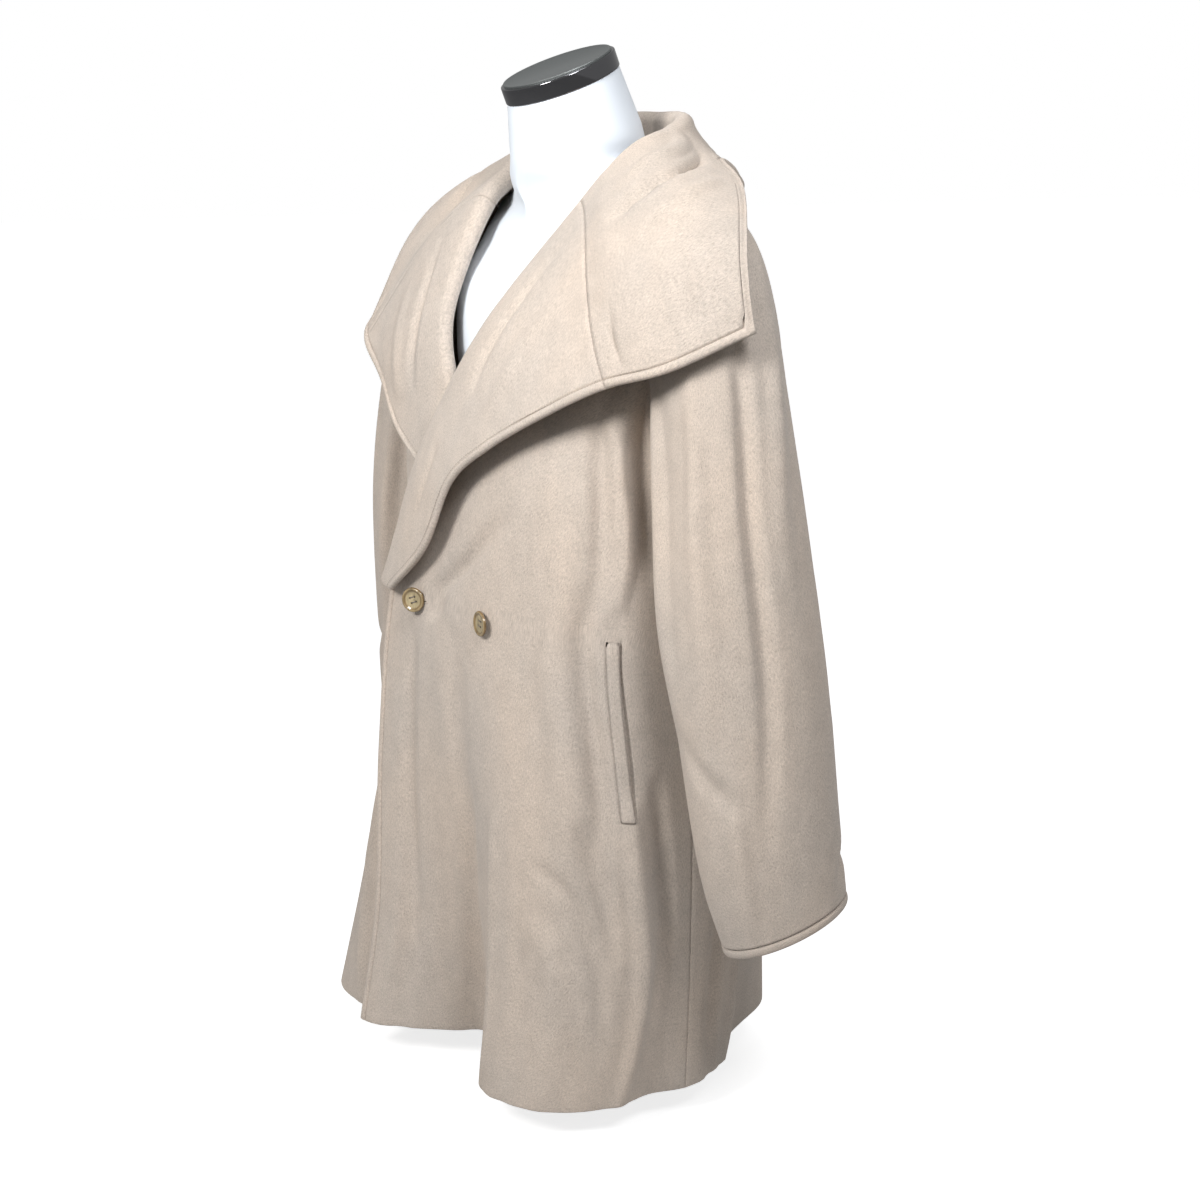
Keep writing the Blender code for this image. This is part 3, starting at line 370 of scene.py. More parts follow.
# ---------------------------------------------------------------- fronts, back, armhole, sleeve and form
def armhole(angle):
    """A point of the armhole: angle 0 is its low end, pi its top; the front half has angles under pi."""
    low, top = np.array(ARMHOLE_LOW), np.array(ARMHOLE_TOP)
    middle = (low + top) / 2
    forward = np.array([0.0, -1.0, 0.0]) * ARMHOLE_HALF_DEPTH * math.sin(angle)
    return middle - (top - low) / 2 * math.cos(angle) + forward


def armhole_angle(v):
    return math.pi * (v - UNDERARM_V) / (1 - UNDERARM_V)


def side_point(rows, v, is_front):
    """The side seam, and above it the edge of the armhole."""
    if v <= UNDERARM_V:
        return through(rows, ("side_x", "side_y", "side_z"), v)
    return armhole(armhole_angle(v) if is_front else -armhole_angle(v))


def front_row(rows, folds, table, v, columns):
    """A section of a front at row v, from its edge to its side, and its length."""
    if v < BREAK_V - MERGE:
        edge = through(rows, ("edge_x", "edge_y", "edge_z"), v)
    else:
        edge = neckline(table, front_station(v))
    base = rounded_row(edge, side_point(rows, v, True), through(rows, ("square",), v)[0])
    shares = columns(line_length(base), v)
    row, length = evenly_along(base, shares)
    return with_folds(row, length, shares, folds, v), length


def back_row(rows, table, v, columns):
    """A section of half the back at row v, from the centre back, or the neckline, to its side."""
    if v <= BACK_NECK_V:
        middle = through(BACK, ("middle_x", "middle_y", "middle_z"), v)
        neck = neckline(table, 1.0)
        blend = max(0.0, (v - UNDERARM_V) / (BACK_NECK_V - UNDERARM_V)) ** 2
        middle = middle * (1 - blend) + neck * blend
    else:
        middle = neckline(table, back_station(v))
    base = rounded_row(middle, side_point(rows, v, False), through(BACK, ("square",), v)[0])
    shares = columns(line_length(base), v)
    row, length = evenly_along(base, shares)
    return with_folds(row, length, shares, BACK_FOLDS, v), length


def sleeve_ring(s, angles):
    """A ring of the left sleeve; its first ring is the armhole."""
    names = SleeveRing._fields[1:]
    row = through(SLEEVE, names, s)
    inner, outer, half, slope = row[0:3], row[3:6], row[6], row[7]
    ring = []
    for angle in angles:
        forward = -math.sin(angle) * half
        point = (inner + outer) / 2 - (outer - inner) / 2 * math.cos(angle)
        ring.append(point + np.array([0.0, forward, forward * slope]))
    return np.array(ring)


def form_ring(z, angles):
    middle_x, half_x, front_y, back_y, square = through(FORM, FormRow._fields[1:], z)
    middle_y, half_y = (front_y + back_y) / 2, (back_y - front_y) / 2
    cosines, sines = np.cos(angles), np.sin(angles)
    x = middle_x + np.sign(sines) * np.abs(sines) ** (2 / square) * half_x
    y = middle_y - np.sign(cosines) * np.abs(cosines) ** (2 / square) * half_y
    return np.stack([x, y, np.full(len(angles), z)], axis=1)


# ---------------------------------------------------------------- lesser folds
# One row per crease, a curve through three places on a piece: "across" is the share of a row's length and
# "up" the row. "half" is half its width, "depth" how far it stands out (or in, below 0), "sharp" how much
# narrower its bottom is than a wave's. A crease that runs out over a hem has a last place below it.
Crease = namedtuple("Crease", "name across_a up_a across_b up_b across_c up_c half depth sharp")
FRONT_LEFT_CREASES = (
    Crease("trough beside the front edge", 0.142, 0.53, 0.128, 0.31, 0.092, -0.10, 0.017, -0.0090, 1.0),
    Crease("trough before the hem's valley", 0.400, 0.38, 0.290, 0.17, 0.275, -0.12, 0.024, -0.0085, 1.0),
    Crease("border of the large hem fold", 0.520, 0.40, 0.500, 0.21, 0.566, -0.06, 0.016, 0.0065, 1.0),
    Crease("dent in the large hem fold", 0.560, 0.25, 0.614, 0.13, 0.640, -0.08, 0.015, -0.0040, 1.0),
    Crease("slanting dent over the hem", 0.610, 0.31, 0.739, 0.26, 0.785, 0.07, 0.012, -0.0065, 1.4),
    Crease("ridge beside the slanting dent", 0.600, 0.24, 0.690, 0.18, 0.715, -0.06, 0.018, 0.0050, 1.0),
    Crease("dent under the pocket", 0.735, 0.37, 0.780, 0.295, 0.812, 0.20, 0.017, -0.0085, 1.2),
    Crease("ridge under the pocket", 0.850, 0.40, 0.874, 0.25, 0.882, -0.08, 0.017, 0.0090, 1.2),
    Crease("trough before the side seam", 0.900, 0.42, 0.930, 0.30, 0.915, 0.12, 0.015, -0.0075, 1.0),
    Crease("trough before the pocket", 0.728, 0.62, 0.757, 0.467, 0.785, 0.32, 0.017, -0.0125, 1.1),
    Crease("soft ridge from the lapel down", 0.640, 0.70, 0.685, 0.467, 0.681, 0.26, 0.028, 0.0070, 1.0),
    Crease("faint trough in the middle", 0.335, 0.56, 0.343, 0.41, 0.350, 0.24, 0.028, -0.0055, 1.0),
    Crease("sink under the lapel's low end", 0.200, 0.54, 0.300, 0.594, 0.480, 0.665, 0.018, -0.0100, 1.0),
    Crease("inner trough under the lapel", 0.700, 0.79, 0.733, 0.70, 0.748, 0.58, 0.013, -0.0085, 1.1),
    Crease("ridge under the lapel", 0.775, 0.80, 0.800, 0.69, 0.800, 0.58, 0.014, 0.0085, 1.1),
    Crease("trough along the armhole", 0.900, 0.86, 0.880, 0.76, 0.905, 0.62, 0.020, -0.0170, 1.0),
)
FRONT_RIGHT_CREASES = (
    Crease("ridge beside the middle", 0.600, 0.46, 0.604, 0.24, 0.540, -0.08, 0.018, 0.0060, 1.0),
    Crease("long trough over the thigh", 0.700, 0.58, 0.725, 0.36, 0.700, 0.10, 0.018, -0.0085, 1.0),
    Crease("ridge before the side seam", 0.810, 0.50, 0.850, 0.28, 0.862, -0.07, 0.018, 0.0070, 1.1),
    Crease("trough before the side seam", 0.900, 0.64, 0.925, 0.42, 0.930, 0.16, 0.014, -0.0065, 1.0),
    Crease("trough under the lapel", 0.660, 0.79, 0.700, 0.70, 0.720, 0.59, 0.013, -0.0065, 1.1),
    Crease("ridge under the lapel", 0.740, 0.79, 0.775, 0.70, 0.790, 0.60, 0.014, 0.0065, 1.0),
    Crease("soft ridge down the front", 0.510, 0.68, 0.570, 0.50, 0.600, 0.34, 0.022, 0.0045, 1.0),
    Crease("trough along the armhole", 0.900, 0.86, 0.885, 0.76, 0.915, 0.63, 0.019, -0.0130, 1.0),
)
BACK_LEFT_CREASES = (
    Crease("ridge that runs out at the hem", 0.700, 0.24, 0.745, 0.10, 0.800, -0.08, 0.019, 0.0080, 1.0),
    Crease("trough beside the side seam", 0.850, 0.32, 0.895, 0.15, 0.880, -0.06, 0.015, -0.0080, 1.0),
    Crease("long sink from the shoulder blade", 0.450, 0.82, 0.500, 0.55, 0.520, 0.24, 0.028, -0.0080, 1.0),
    Crease("swell beside the centre seam", 0.180, 0.64, 0.205, 0.36, 0.170, -0.09, 0.026, 0.0065, 1.0),
    Crease("dent behind the underarm", 0.880, 0.73, 0.800, 0.62, 0.765, 0.46, 0.015, -0.0085, 1.1),
    Crease("soft ridge over the hip", 0.620, 0.58, 0.655, 0.42, 0.640, 0.22, 0.022, 0.0060, 1.0),
)
BACK_RIGHT_CREASES = (
    Crease("ridge that runs out at the hem", 0.610, 0.28, 0.655, 0.12, 0.700, -0.08, 0.020, 0.0070, 1.0),
    Crease("trough beside the side seam", 0.800, 0.36, 0.840, 0.17, 0.860, -0.06, 0.017, -0.0080, 1.0),
    Crease("long sink from the shoulder blade", 0.380, 0.85, 0.440, 0.60, 0.400, 0.28, 0.026, -0.0070, 1.0),
    Crease("swell beside the centre seam", 0.240, 0.56, 0.220, 0.31, 0.250, -0.09, 0.028, 0.0060, 1.0),
    Crease("dent behind the underarm", 0.895, 0.71, 0.830, 0.60, 0.800, 0.44, 0.015, -0.0080, 1.1),
    Crease("soft ridge over the hip", 0.700, 0.55, 0.715, 0.40, 0.730, 0.24, 0.018, 0.0060, 1.0),
)
# A sleeve's shares run from its inner side over its front (0.25), outer side (0.5) and back (0.75).
SLEEVE_CREASES = (
    Crease("long trough down the outer front", 0.455, 0.17, 0.462, 0.45, 0.405, 0.76, 0.015, -0.0090, 1.0),
    Crease("broad ridge down the front", 0.350, 0.20, 0.343, 0.41, 0.310, 0.62, 0.026, 0.0060, 1.0),
    Crease("roll beside the body", 0.175, 0.06, 0.190, 0.30, 0.205, 0.56, 0.026, 0.0120, 1.0),
    Crease("dent over the cuff", 0.225, 0.58, 0.300, 0.655, 0.380, 0.70, 0.012, -0.0050, 1.0),
    Crease("short ridge over the cuff", 0.357, 0.66, 0.345, 0.76, 0.335, 0.88, 0.014, 0.0045, 1.0),
    Crease("ridge down the outer side", 0.530, 0.10, 0.543, 0.28, 0.530, 0.52, 0.017, 0.0060, 1.0),
    Crease("trough down the outer back", 0.620, 0.22, 0.655, 0.42, 0.690, 0.64, 0.016, -0.0075, 1.0),
    Crease("ridge down the back", 0.800, 0.30, 0.780, 0.50, 0.730, 0.70, 0.018, 0.0060, 1.0),
    Crease("upper dent inside the elbow", 0.940, 0.40, 0.860, 0.46, 0.780, 0.48, 0.011, -0.0055, 1.2),
    Crease("lower dent inside the elbow", 0.950, 0.51, 0.880, 0.54, 0.800, 0.53, 0.009, -0.0045, 1.2),
    Crease("dent over the cuff's back", 0.600, 0.86, 0.680, 0.82, 0.760, 0.76, 0.012, -0.0045, 1.0),
)
LAPEL_CREASES = (
    Crease("long dip beside the roll", 0.290, 0.470, 0.345, 0.405, 0.560, 0.330, 0.013, -0.0055, 1.0),
    Crease("soft swell beside the dip", 0.560, 0.470, 0.640, 0.400, 0.800, 0.330, 0.018, 0.0030, 1.0),
    Crease("short dip at the low end", 0.450, 0.260, 0.520, 0.200, 0.560, 0.130, 0.010, -0.0025, 1.0),
)
# Levels 0.5 to 1 are the left half, 1 to 1.5 the right one.
COLLAR_CREASES = (
    Crease("deep crease over left shoulder", 0.430, 0.555, 0.365, 0.640, 0.600, 0.745, 0.014, -0.0130, 1.3),
    Crease("swell over the deep crease", 0.270, 0.590, 0.240, 0.660, 0.420, 0.770, 0.015, 0.0060, 1.0),
    Crease("swell under the deep crease", 0.560, 0.580, 0.520, 0.640, 0.700, 0.700, 0.016, 0.0045, 1.0),
    Crease("dent in the left wing, high", 0.720, 0.632, 0.660, 0.640, 0.600, 0.655, 0.015, -0.0030, 1.0),
    Crease("dent in the left wing, low", 0.780, 0.622, 0.850, 0.618, 0.920, 0.610, 0.009, -0.0045, 1.0),
    Crease("dent beside the left seam", 0.750, 0.540, 0.850, 0.531, 0.950, 0.531, 0.008, -0.0050, 1.0),
    Crease("dip at the left of the back", 0.450, 0.860, 0.700, 0.885, 0.900, 0.890, 0.014, 0.0045, 1.0),
    Crease("dip behind the neck", 0.350, 0.975, 0.600, 0.990, 0.880, 1.005, 0.016, -0.0045, 1.0),
    Crease("dip at the right of the back", 0.400, 1.120, 0.650, 1.145, 0.870, 1.130, 0.014, -0.0050, 1.0),
    Crease("crease over the right shoulder", 0.400, 1.440, 0.370, 1.360, 0.580, 1.270, 0.014, -0.0105, 1.2),
    Crease("dent in the right wing, high", 0.700, 1.370, 0.750, 1.352, 0.830, 1.345, 0.009, -0.0045, 1.0),
    Crease("dent beside the right seam", 0.780, 1.460, 0.860, 1.465, 0.940, 1.470, 0.008, -0.0045, 1.0),
)
CREASE_STEPS = 49
RELAX_FROM, RELAX_ROUNDS = 0.08, 40


def eased(share):
    """0 at 0, 1 from 1 on, and smooth between."""
    share = np.clip(share, 0, 1)
    return share * share * (3 - 2 * share)


def creased(surface, creases, height, seams):
    """The surface with its lesser folds. They die out next to the named sides, where it is sewn."""
    across, up = surface.distances, surface.levels * height
    lengths = across[:, -1]
    shift = np.zeros(across.shape)
    for crease in creases:
        places = []
        for share, level in ((crease.across_a, crease.up_a), (crease.across_b, crease.up_b),
                             (crease.across_c, crease.up_c)):
            length = np.interp(level, surface.levels[:, 0], lengths)
            places.append(np.array([share * length, level * height]))
        pull = 2 * places[1] - (places[0] + places[2]) / 2
        t, pace = np.linspace(0, 1, CREASE_STEPS, retstep=True)
        line = [places[0] * (1 - s) ** 2 + pull * 2 * s * (1 - s) + places[2] * s * s for s in t]
        nearest = np.full(across.shape, np.inf)
        passed = np.zeros(across.shape)
        for first, last, start in zip(line, line[1:], t):
            run = last - first
            part = np.clip(((across - first[0]) * run[0] + (up - first[1]) * run[1]) / (run @ run), 0, 1)
            distance = np.hypot(across - first[0] - run[0] * part, up - first[1] - run[1] * part)
            closer = distance < nearest
            nearest = np.where(closer, distance, nearest)
            passed = np.where(closer, start + pace * part, passed)
        taper = np.sin(math.pi * np.clip(passed, 0, 1)) ** 0.8
        wave = np.where(nearest < crease.half, 0.5 + 0.5 * np.cos(math.pi * nearest / crease.half), 0.0)
        shift += crease.depth * wave ** crease.sharp * taper
    room = {"first": across, "last": lengths[:, None] - across, "low": up - up[0], "high": up[-1] - up}
    for side in seams:
        shift = shift * eased(room[side] / SEAM_CALM)
    return surface._replace(points=surface.points + surface_normals(surface) * shift[:, :, None])


# ---------------------------------------------------------------- surfaces of the cloth
# points[row][column] on the outer or under side of a piece, the distance of each along its row, the row's
# level, the side that its outward normals take, and whether its first and last columns are one.
Surface = namedtuple("Surface", "points distances levels flip closed")


def surface_normals(surface):
    points = surface.points
    down = np.gradient(points, axis=0)
    along = np.gradient(points, axis=1)
    if surface.closed:
        joined = points[:, 1] - points[:, -2]
        along[:, 0], along[:, -1] = joined, joined
    normals = np.cross(along, down) * surface.flip
    return normals / np.maximum(np.linalg.norm(normals, axis=2), 1e-12)[:, :, None]


def as_surface(rows, levels, away_from, closed=False):
    """A surface from its rows, whose outward side faces away from the given point."""
    points = np.array(rows)
    steps = np.linalg.norm(np.diff(points, axis=1), axis=2)
    distances = np.concatenate([np.zeros((len(points), 1)), np.cumsum(steps, axis=1)], axis=1)
    levels = np.repeat(np.array(levels)[:, None], points.shape[1], axis=1)
    surface = Surface(points, distances, levels, 1.0, closed)
    votes = (surface_normals(surface) * (points - np.array(away_from))).sum()
    return surface._replace(flip=1.0 if votes > 0 else -1.0)


def mirrored(surface):
    points = surface.points * np.array([-1.0, 1.0, 1.0])
    return surface._replace(points=points, flip=-surface.flip)


def fine_levels(low, high, metres, low_steps, high_steps, special=()):
    """Levels from low to high at about ROW_PITCH, with those of a rim at either end and special ones."""
    count = int(round((high - low) * metres / ROW_PITCH))
    first, last = low + low_steps[-1] / metres, high - high_steps[-1] / metres
    levels = list(np.linspace(first, last, count))
    levels += [low + step / metres for step in low_steps[:-1]]
    levels += [high - step / metres for step in high_steps[:-1]]
    levels = sorted(level for level in levels
                    if all(abs(level - other) > 0.3 * ROW_PITCH / metres for other in special))
    return np.array(sorted(levels + list(special)))


def pocket_share(v):
    low, high = POCKET_LENGTH_V
    return np.interp(v, (low, high), POCKET_SHARES)


def pocket_gape(v):
    """How far apart the mouth's columns lie at a row: its opening, and a wider spread past its ends."""
    low, high = POCKET_LENGTH_V
    t = (v - low) / (high - low)
    if 0 < t < 1:
        return POCKET_LEAST + POCKET_GAPE * math.sin(math.pi * t ** 0.7) ** 0.8
    return POCKET_LEAST + POCKET_SPREAD * eased(max(low - v, v - high) / POCKET_SPREAD_V)


def front_columns(length, v):
    """Shares of a front's row, with columns for its turned edge, the pocket's slit and the side seam."""
    middle, gape = length * pocket_share(v), pocket_gape(v)
    mouth = np.array(POCKET_BLOCK[-1:]) + gape * np.array(POCKET_MOUTH)
    after = mouth[-1] + np.array(POCKET_AFTER)
    slit = middle + np.concatenate([POCKET_BLOCK, mouth, after])
    side = length - np.array(SEAM_ROUND)[::-1]
    before = np.linspace(EDGE_BLOCK[-1], slit[0], EDGE_COLUMNS)[1:-1]
    behind = np.linspace(slit[-1], side[0], SIDE_COLUMNS)[1:-1]
    return np.concatenate([EDGE_BLOCK, before, slit, behind, side]) / length


POCKET_FIRST = len(EDGE_BLOCK) + EDGE_COLUMNS - 2
POCKET_BAND = slice(POCKET_FIRST + 4, POCKET_FIRST + 10)
POCKET_HOLLOW = (POCKET_FIRST + 11, POCKET_FIRST + 12)
POCKET_LIP = POCKET_FIRST + 3


def relaxed(surface, level, reach):
    """The surface with the bend at a level drawn out smoothly over its rows, but for its first columns."""
    weight = eased(1 - np.abs(surface.levels - level) / reach) * eased(surface.distances / RELAX_FROM)
    points = surface.points
    for _ in range(RELAX_ROUNDS):
        middle = (points[:-2] + points[2:]) / 2
        points = points.copy()
        points[1:-1] += (middle - points[1:-1]) * weight[1:-1, :, None] * 0.7
    return surface._replace(points=points)


def front_surface(side):
    """The outer surface of a front, with its pocket's slit sunk in."""
    rows_table, folds, collar = FRONT_TABLES[side]
    low, high = POCKET_LENGTH_V
    ends = [v + step for v in (low, high) for step in (-0.004, -0.002, 0.0, 0.002, 0.004)]
    levels = fine_levels(0.0, 1.0, GARMENT_HEIGHT, EDGE_ROUND, SEAM_ROUND, ends)
    rows = [front_row(rows_table, folds, collar, v, front_columns)[0] for v in levels]
    surface = relaxed(as_surface(rows, levels, BODY_MIDDLE), BREAK_V, 0.07)
    creases = FRONT_LEFT_CREASES if side == "left" else FRONT_RIGHT_CREASES
    surface = creased(surface, creases, GARMENT_HEIGHT, ("last", "high"))
    inside = (surface.levels > low) & (surface.levels < high)
    depth = np.zeros(surface.levels.shape)
    for column in POCKET_HOLLOW:
        depth[:, column] = np.where(inside[:, column], -POCKET_SINK, 0.0)
    depth[:, POCKET_LIP] = np.where(inside[:, 0], -POCKET_LIP_SINK, 0.0)
    points = surface.points + surface_normals(surface) * depth[:, :, None]
    return surface._replace(points=points)


def back_columns(length, v):
    middle = np.array(SEAM_ROUND)
    side = length - np.array(SEAM_ROUND)[::-1]
    return np.concatenate([middle, np.linspace(middle[-1], side[0], BACK_COLUMNS)[1:-1], side]) / length


def back_surface(side):
    """The outer surface of half the back."""
    rows_table, _, collar = FRONT_TABLES[side]
    levels = fine_levels(0.0, 1.0, GARMENT_HEIGHT, EDGE_ROUND, SEAM_ROUND, (BACK_NECK_V,))
    rows = [back_row(rows_table, collar, v, back_columns)[0] for v in levels]
    surface = as_surface(rows, levels, BODY_MIDDLE)
    creases = BACK_LEFT_CREASES if side == "left" else BACK_RIGHT_CREASES
    return creased(surface, creases, GARMENT_HEIGHT, ("first", "last", "high"))


def sleeve_surface():
    """The outer surface of the left sleeve. Its cuff's columns lie at one distance from the cuff's edge."""
    columns = []
    step = 0.02
    for angle in np.linspace(0, 2 * math.pi, SLEEVE_COLUMNS):
        near_cuff = sleeve_ring(1 - step, [angle])[0] - sleeve_ring(1.0, [angle])[0]
        near_arm = sleeve_ring(step, [angle])[0] - sleeve_ring(0.0, [angle])[0]
        at_arm = np.array(SEAM_ROUND) * step / np.linalg.norm(near_arm)
        at_cuff = 1 - np.array(EDGE_BLOCK)[::-1] * step / np.linalg.norm(near_cuff)
        between = np.linspace(at_arm[-1], at_cuff[0], SLEEVE_ROWS)[1:-1]
        levels = np.concatenate([at_arm, between, at_cuff])
        columns.append([sleeve_ring(s, [angle])[0] for s in levels])
    points = np.array(columns).transpose(1, 0, 2)
    surface = as_surface(points, np.linspace(0, 1, len(points)), points.mean(axis=(0, 1)), closed=True)
    return creased(surface, SLEEVE_CREASES, SLEEVE_LENGTH, ("low",))


def edge_shares(path, edge_line, wanted):
    """Shares of a section's length at which it lies at the wanted distances from the piece's edge."""
    length = line_length(path)
    back = np.linspace(0, min(0.020, 0.5 * length), 80)
    points = evenly_along(path, 1 - back / length)[0]
    starts, ends = edge_line[:-1], edge_line[1:]
    spans = ends - starts
    offset = points[:, None, :] - starts[None, :, :]
    t = np.clip((offset * spans).sum(axis=2) / (spans * spans).sum(axis=1), 0, 1)
    gaps = np.linalg.norm(offset - spans[None, :, :] * t[:, :, None], axis=2).min(axis=1)
    gaps = np.maximum.accumulate(gaps)
    return 1 - np.interp(wanted, gaps, back) / length


def turned_surface(stations):
    """The rows of a lapel's or the collar's under side, one for each station."""
    paths = []
    for q, table, sign in stations:
        path = collar_section(table, q, np.linspace(0, 1, 200))
        paths.append(path * np.array([sign, 1.0, 1.0]))
    edge_line = np.array([path[-1] for path in paths])
    rows = []
    for path in paths:
        length = line_length(path)
        start = np.array(TURN_BLOCK) * min(1.0, 0.4 * length / TURN_BLOCK[-1]) / length
        end = edge_shares(path, edge_line, np.array(EDGE_BLOCK)[::-1])
        shares = np.concatenate([start, np.linspace(start[-1], end[0], TURN_COLUMNS)[1:-1], end])
        rows.append(evenly_along(path, shares)[0])
    return rows


def lapel_surface(side):
    table = FRONT_TABLES[side][2]
    stations = fine_levels(START_Q, LAPEL_SEAM_Q, LAPEL_METRES, EDGE_ROUND, SEAM_ROUND)
    rows = turned_surface([(q, table, 1.0) for q in stations])
    surface = as_surface(rows, stations, COLLAR_MIDDLE)
    return creased(surface, LAPEL_CREASES, LAPEL_METRES, ("first", "high"))


def collar_surface():
    half = fine_levels(LAPEL_SEAM_Q, 1.0, COLLAR_METRES, SEAM_ROUND, (0.0, 0.004), CORNER_LEVELS)
    left, right = FRONT_TABLES["left"][2], FRONT_TABLES["right"][2]
    stations = [(q, left, 1.0) for q in half] + [(q, right, -1.0) for q in half[-2::-1]]
    levels = list(half) + [2.0 - q for q in half[-2::-1]]
    surface = as_surface(turned_surface(stations), levels, COLLAR_MIDDLE)
    return creased(surface, COLLAR_CREASES, COLLAR_METRES, ("first", "low", "high"))


# ---------------------------------------------------------------- making meshes
def add_object(name, bm, finish):
    mesh = bpy.data.meshes.new(name)
    bm.to_mesh(mesh)
    bm.free()
    mesh.materials.append(finish)
    mesh.shade_smooth()
    made = bpy.data.objects.new(name, mesh)
    bpy.context.scene.collection.objects.link(made)
    return made


def grid_layer(bm, points, uvs):
    """A grid whose points and UVs are the given ones."""
    count, across = points.shape[:2]
    made = bmesh.ops.create_grid(bm, x_segments=across - 1, y_segments=count - 1, size=1.0)
    layer = bm.loops.layers.uv.verify()
    places = {}
    for vert in made["verts"]:
        column = round((vert.co.x + 1) / 2 * (across - 1))
        row = round((vert.co.y + 1) / 2 * (count - 1))
        places[vert] = (row, column)
        vert.co = points[row, column]
    for vert, (row, column) in places.items():
        for loop in vert.link_loops:
            loop[layer].uv = uvs[row, column]


def rounding(steps, distances):
    """The share of a cloth's half thickness at the given distances from a rim, as a quarter circle."""
    reach = steps[-1]
    inward = np.clip(distances / reach, 0, 1)
    return np.sqrt(1 - (1 - inward) ** 2)


def piped(distances, roll, groove):
    """Height of a turned, topstitched edge over the cloth: its roll, then the groove of its stitches."""
    wave = np.sin(math.pi * np.clip(distances / STITCH_AT, 0, 1)) * roll
    off = (distances - STITCH_AT) / GROOVE_HALF
    sunk = np.where(np.abs(off) < 1, 0.5 + 0.5 * np.cos(math.pi * off), 0.0) * groove
    return wave - sunk


def shell(bm, surface, thickness, lies, rim, raised):
    """A closed wall of cloth round a surface: "lies" is -1 under it and 1 over it. Returns its outer side."""
    normals = surface_normals(surface)
    middle = surface.points + normals * (lies * thickness / 2)
    half = (thickness / 2 * rim)[:, :, None]
    lift = (raised * rim)[:, :, None]
    uvs = np.stack([surface.distances, surface.levels * GARMENT_HEIGHT], axis=2)
    outer = middle + normals * (half + lift)
    grid_layer(bm, outer, uvs)
    grid_layer(bm, middle - normals * half, uvs)
    return outer, normals


def finish_cloth(name, bm, finish):
    bmesh.ops.remove_doubles(bm, verts=bm.verts, dist=MERGE)
    bmesh.ops.recalc_face_normals(bm, faces=bm.faces)
    made = add_object(name, bm, finish)
    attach(made, "root")
    return made


def columns_from_start(surface):
    return surface.distances


def columns_from_end(surface):
    return surface.distances[:, -1:] - surface.distances


def rows_from(surface, last):
    """Distance of every point from the first or the last row, measured along its column."""
    steps = np.linalg.norm(np.diff(surface.points, axis=0), axis=2)
    along = np.concatenate([np.zeros((1, steps.shape[1])), np.cumsum(steps, axis=0)])
    return along[-1:] - along if last else along


def sides_rim(surface, first, last):
    """The share of the half thickness next to a surface's first and last columns."""
    return rounding(first, columns_from_start(surface)) * rounding(last, columns_from_end(surface))


def ends_rim(surface, first, last):
    """The same next to its first and last rows."""
    return rounding(first, rows_from(surface, False)) * rounding(last, rows_from(surface, True))


def make_front(side, sizes, finish):
    """A front, with its turned and topstitched edge below the fastening."""
    surface = front_surface(side)
    below = (surface.levels < BREAK_V).astype(float)
    from_edge = columns_from_start(surface)
    rim = np.where(below > 0, rounding(EDGE_ROUND, from_edge), rounding(SEAM_ROUND, from_edge))
    rim = rim * rounding(SEAM_ROUND, columns_from_end(surface))
    rim = rim * ends_rim(surface, EDGE_ROUND, SEAM_ROUND)
    raised = piped(from_edge, sizes.edge_roll, sizes.groove) * below
    if side == "right":
        surface = mirrored(surface)
    bm = bmesh.new()
    outer, normals = shell(bm, surface, sizes.cloth, -1, rim, raised)
    made = finish_cloth("front_" + side + "_cloth", bm, finish)
    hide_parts("front_" + side)
    keep = surface.levels[:, 0] < BREAK_V
    SEAM_LINES["front_" + side] = (outer[keep, STITCH_COLUMN], normals[keep, STITCH_COLUMN])
    OUTSIDES["front_" + side] = (outer, normals, surface)
    return made


def make_back(sizes, finish):
    bm = bmesh.new()
    for side in ("left", "right"):
        surface = back_surface(side)
        rim = sides_rim(surface, SEAM_ROUND, SEAM_ROUND) * ends_rim(surface, EDGE_ROUND, SEAM_ROUND)
        if side == "right":
            surface = mirrored(surface)
        shell(bm, surface, sizes.cloth, -1, rim, np.zeros(rim.shape))
    made = finish_cloth("back_cloth", bm, finish)
    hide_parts("back")
    return made


def make_sleeve(side, sizes, finish):
    surface = sleeve_surface()
    from_cuff = rows_from(surface, True)
    rim = ends_rim(surface, SEAM_ROUND, EDGE_ROUND)
    raised = piped(from_cuff, sizes.edge_roll * 0.6, sizes.groove)
    if side == "right":
        surface = mirrored(surface)
    bm = bmesh.new()
    outer, normals = shell(bm, surface, sizes.cloth, -1, rim, raised)
    made = finish_cloth("sleeve_" + side + "_cloth", bm, finish)
    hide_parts("sleeve_" + side)
    row = len(outer) - 1 - STITCH_COLUMN
    SEAM_LINES["cuff_" + side] = (outer[row], normals[row])
    return made


def make_lapel(side, sizes, finish):
    surface = lapel_surface(side)
    from_edge = columns_from_end(surface)
    rim = sides_rim(surface, SEAM_ROUND, EDGE_ROUND) * ends_rim(surface, EDGE_ROUND, SEAM_ROUND)
    raised = piped(from_edge, sizes.edge_roll, sizes.groove)
    if side == "right":
        surface = mirrored(surface)
    bm = bmesh.new()
    outer, normals = shell(bm, surface, sizes.two_layers, 1, rim, raised)
    made = finish_cloth("lapel_" + side + "_cloth", bm, finish)
    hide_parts("lapel_" + side)
    column = outer.shape[1] - 1 - STITCH_COLUMN
    SEAM_LINES["lapel_" + side] = (outer[:, column], normals[:, column])
    return made


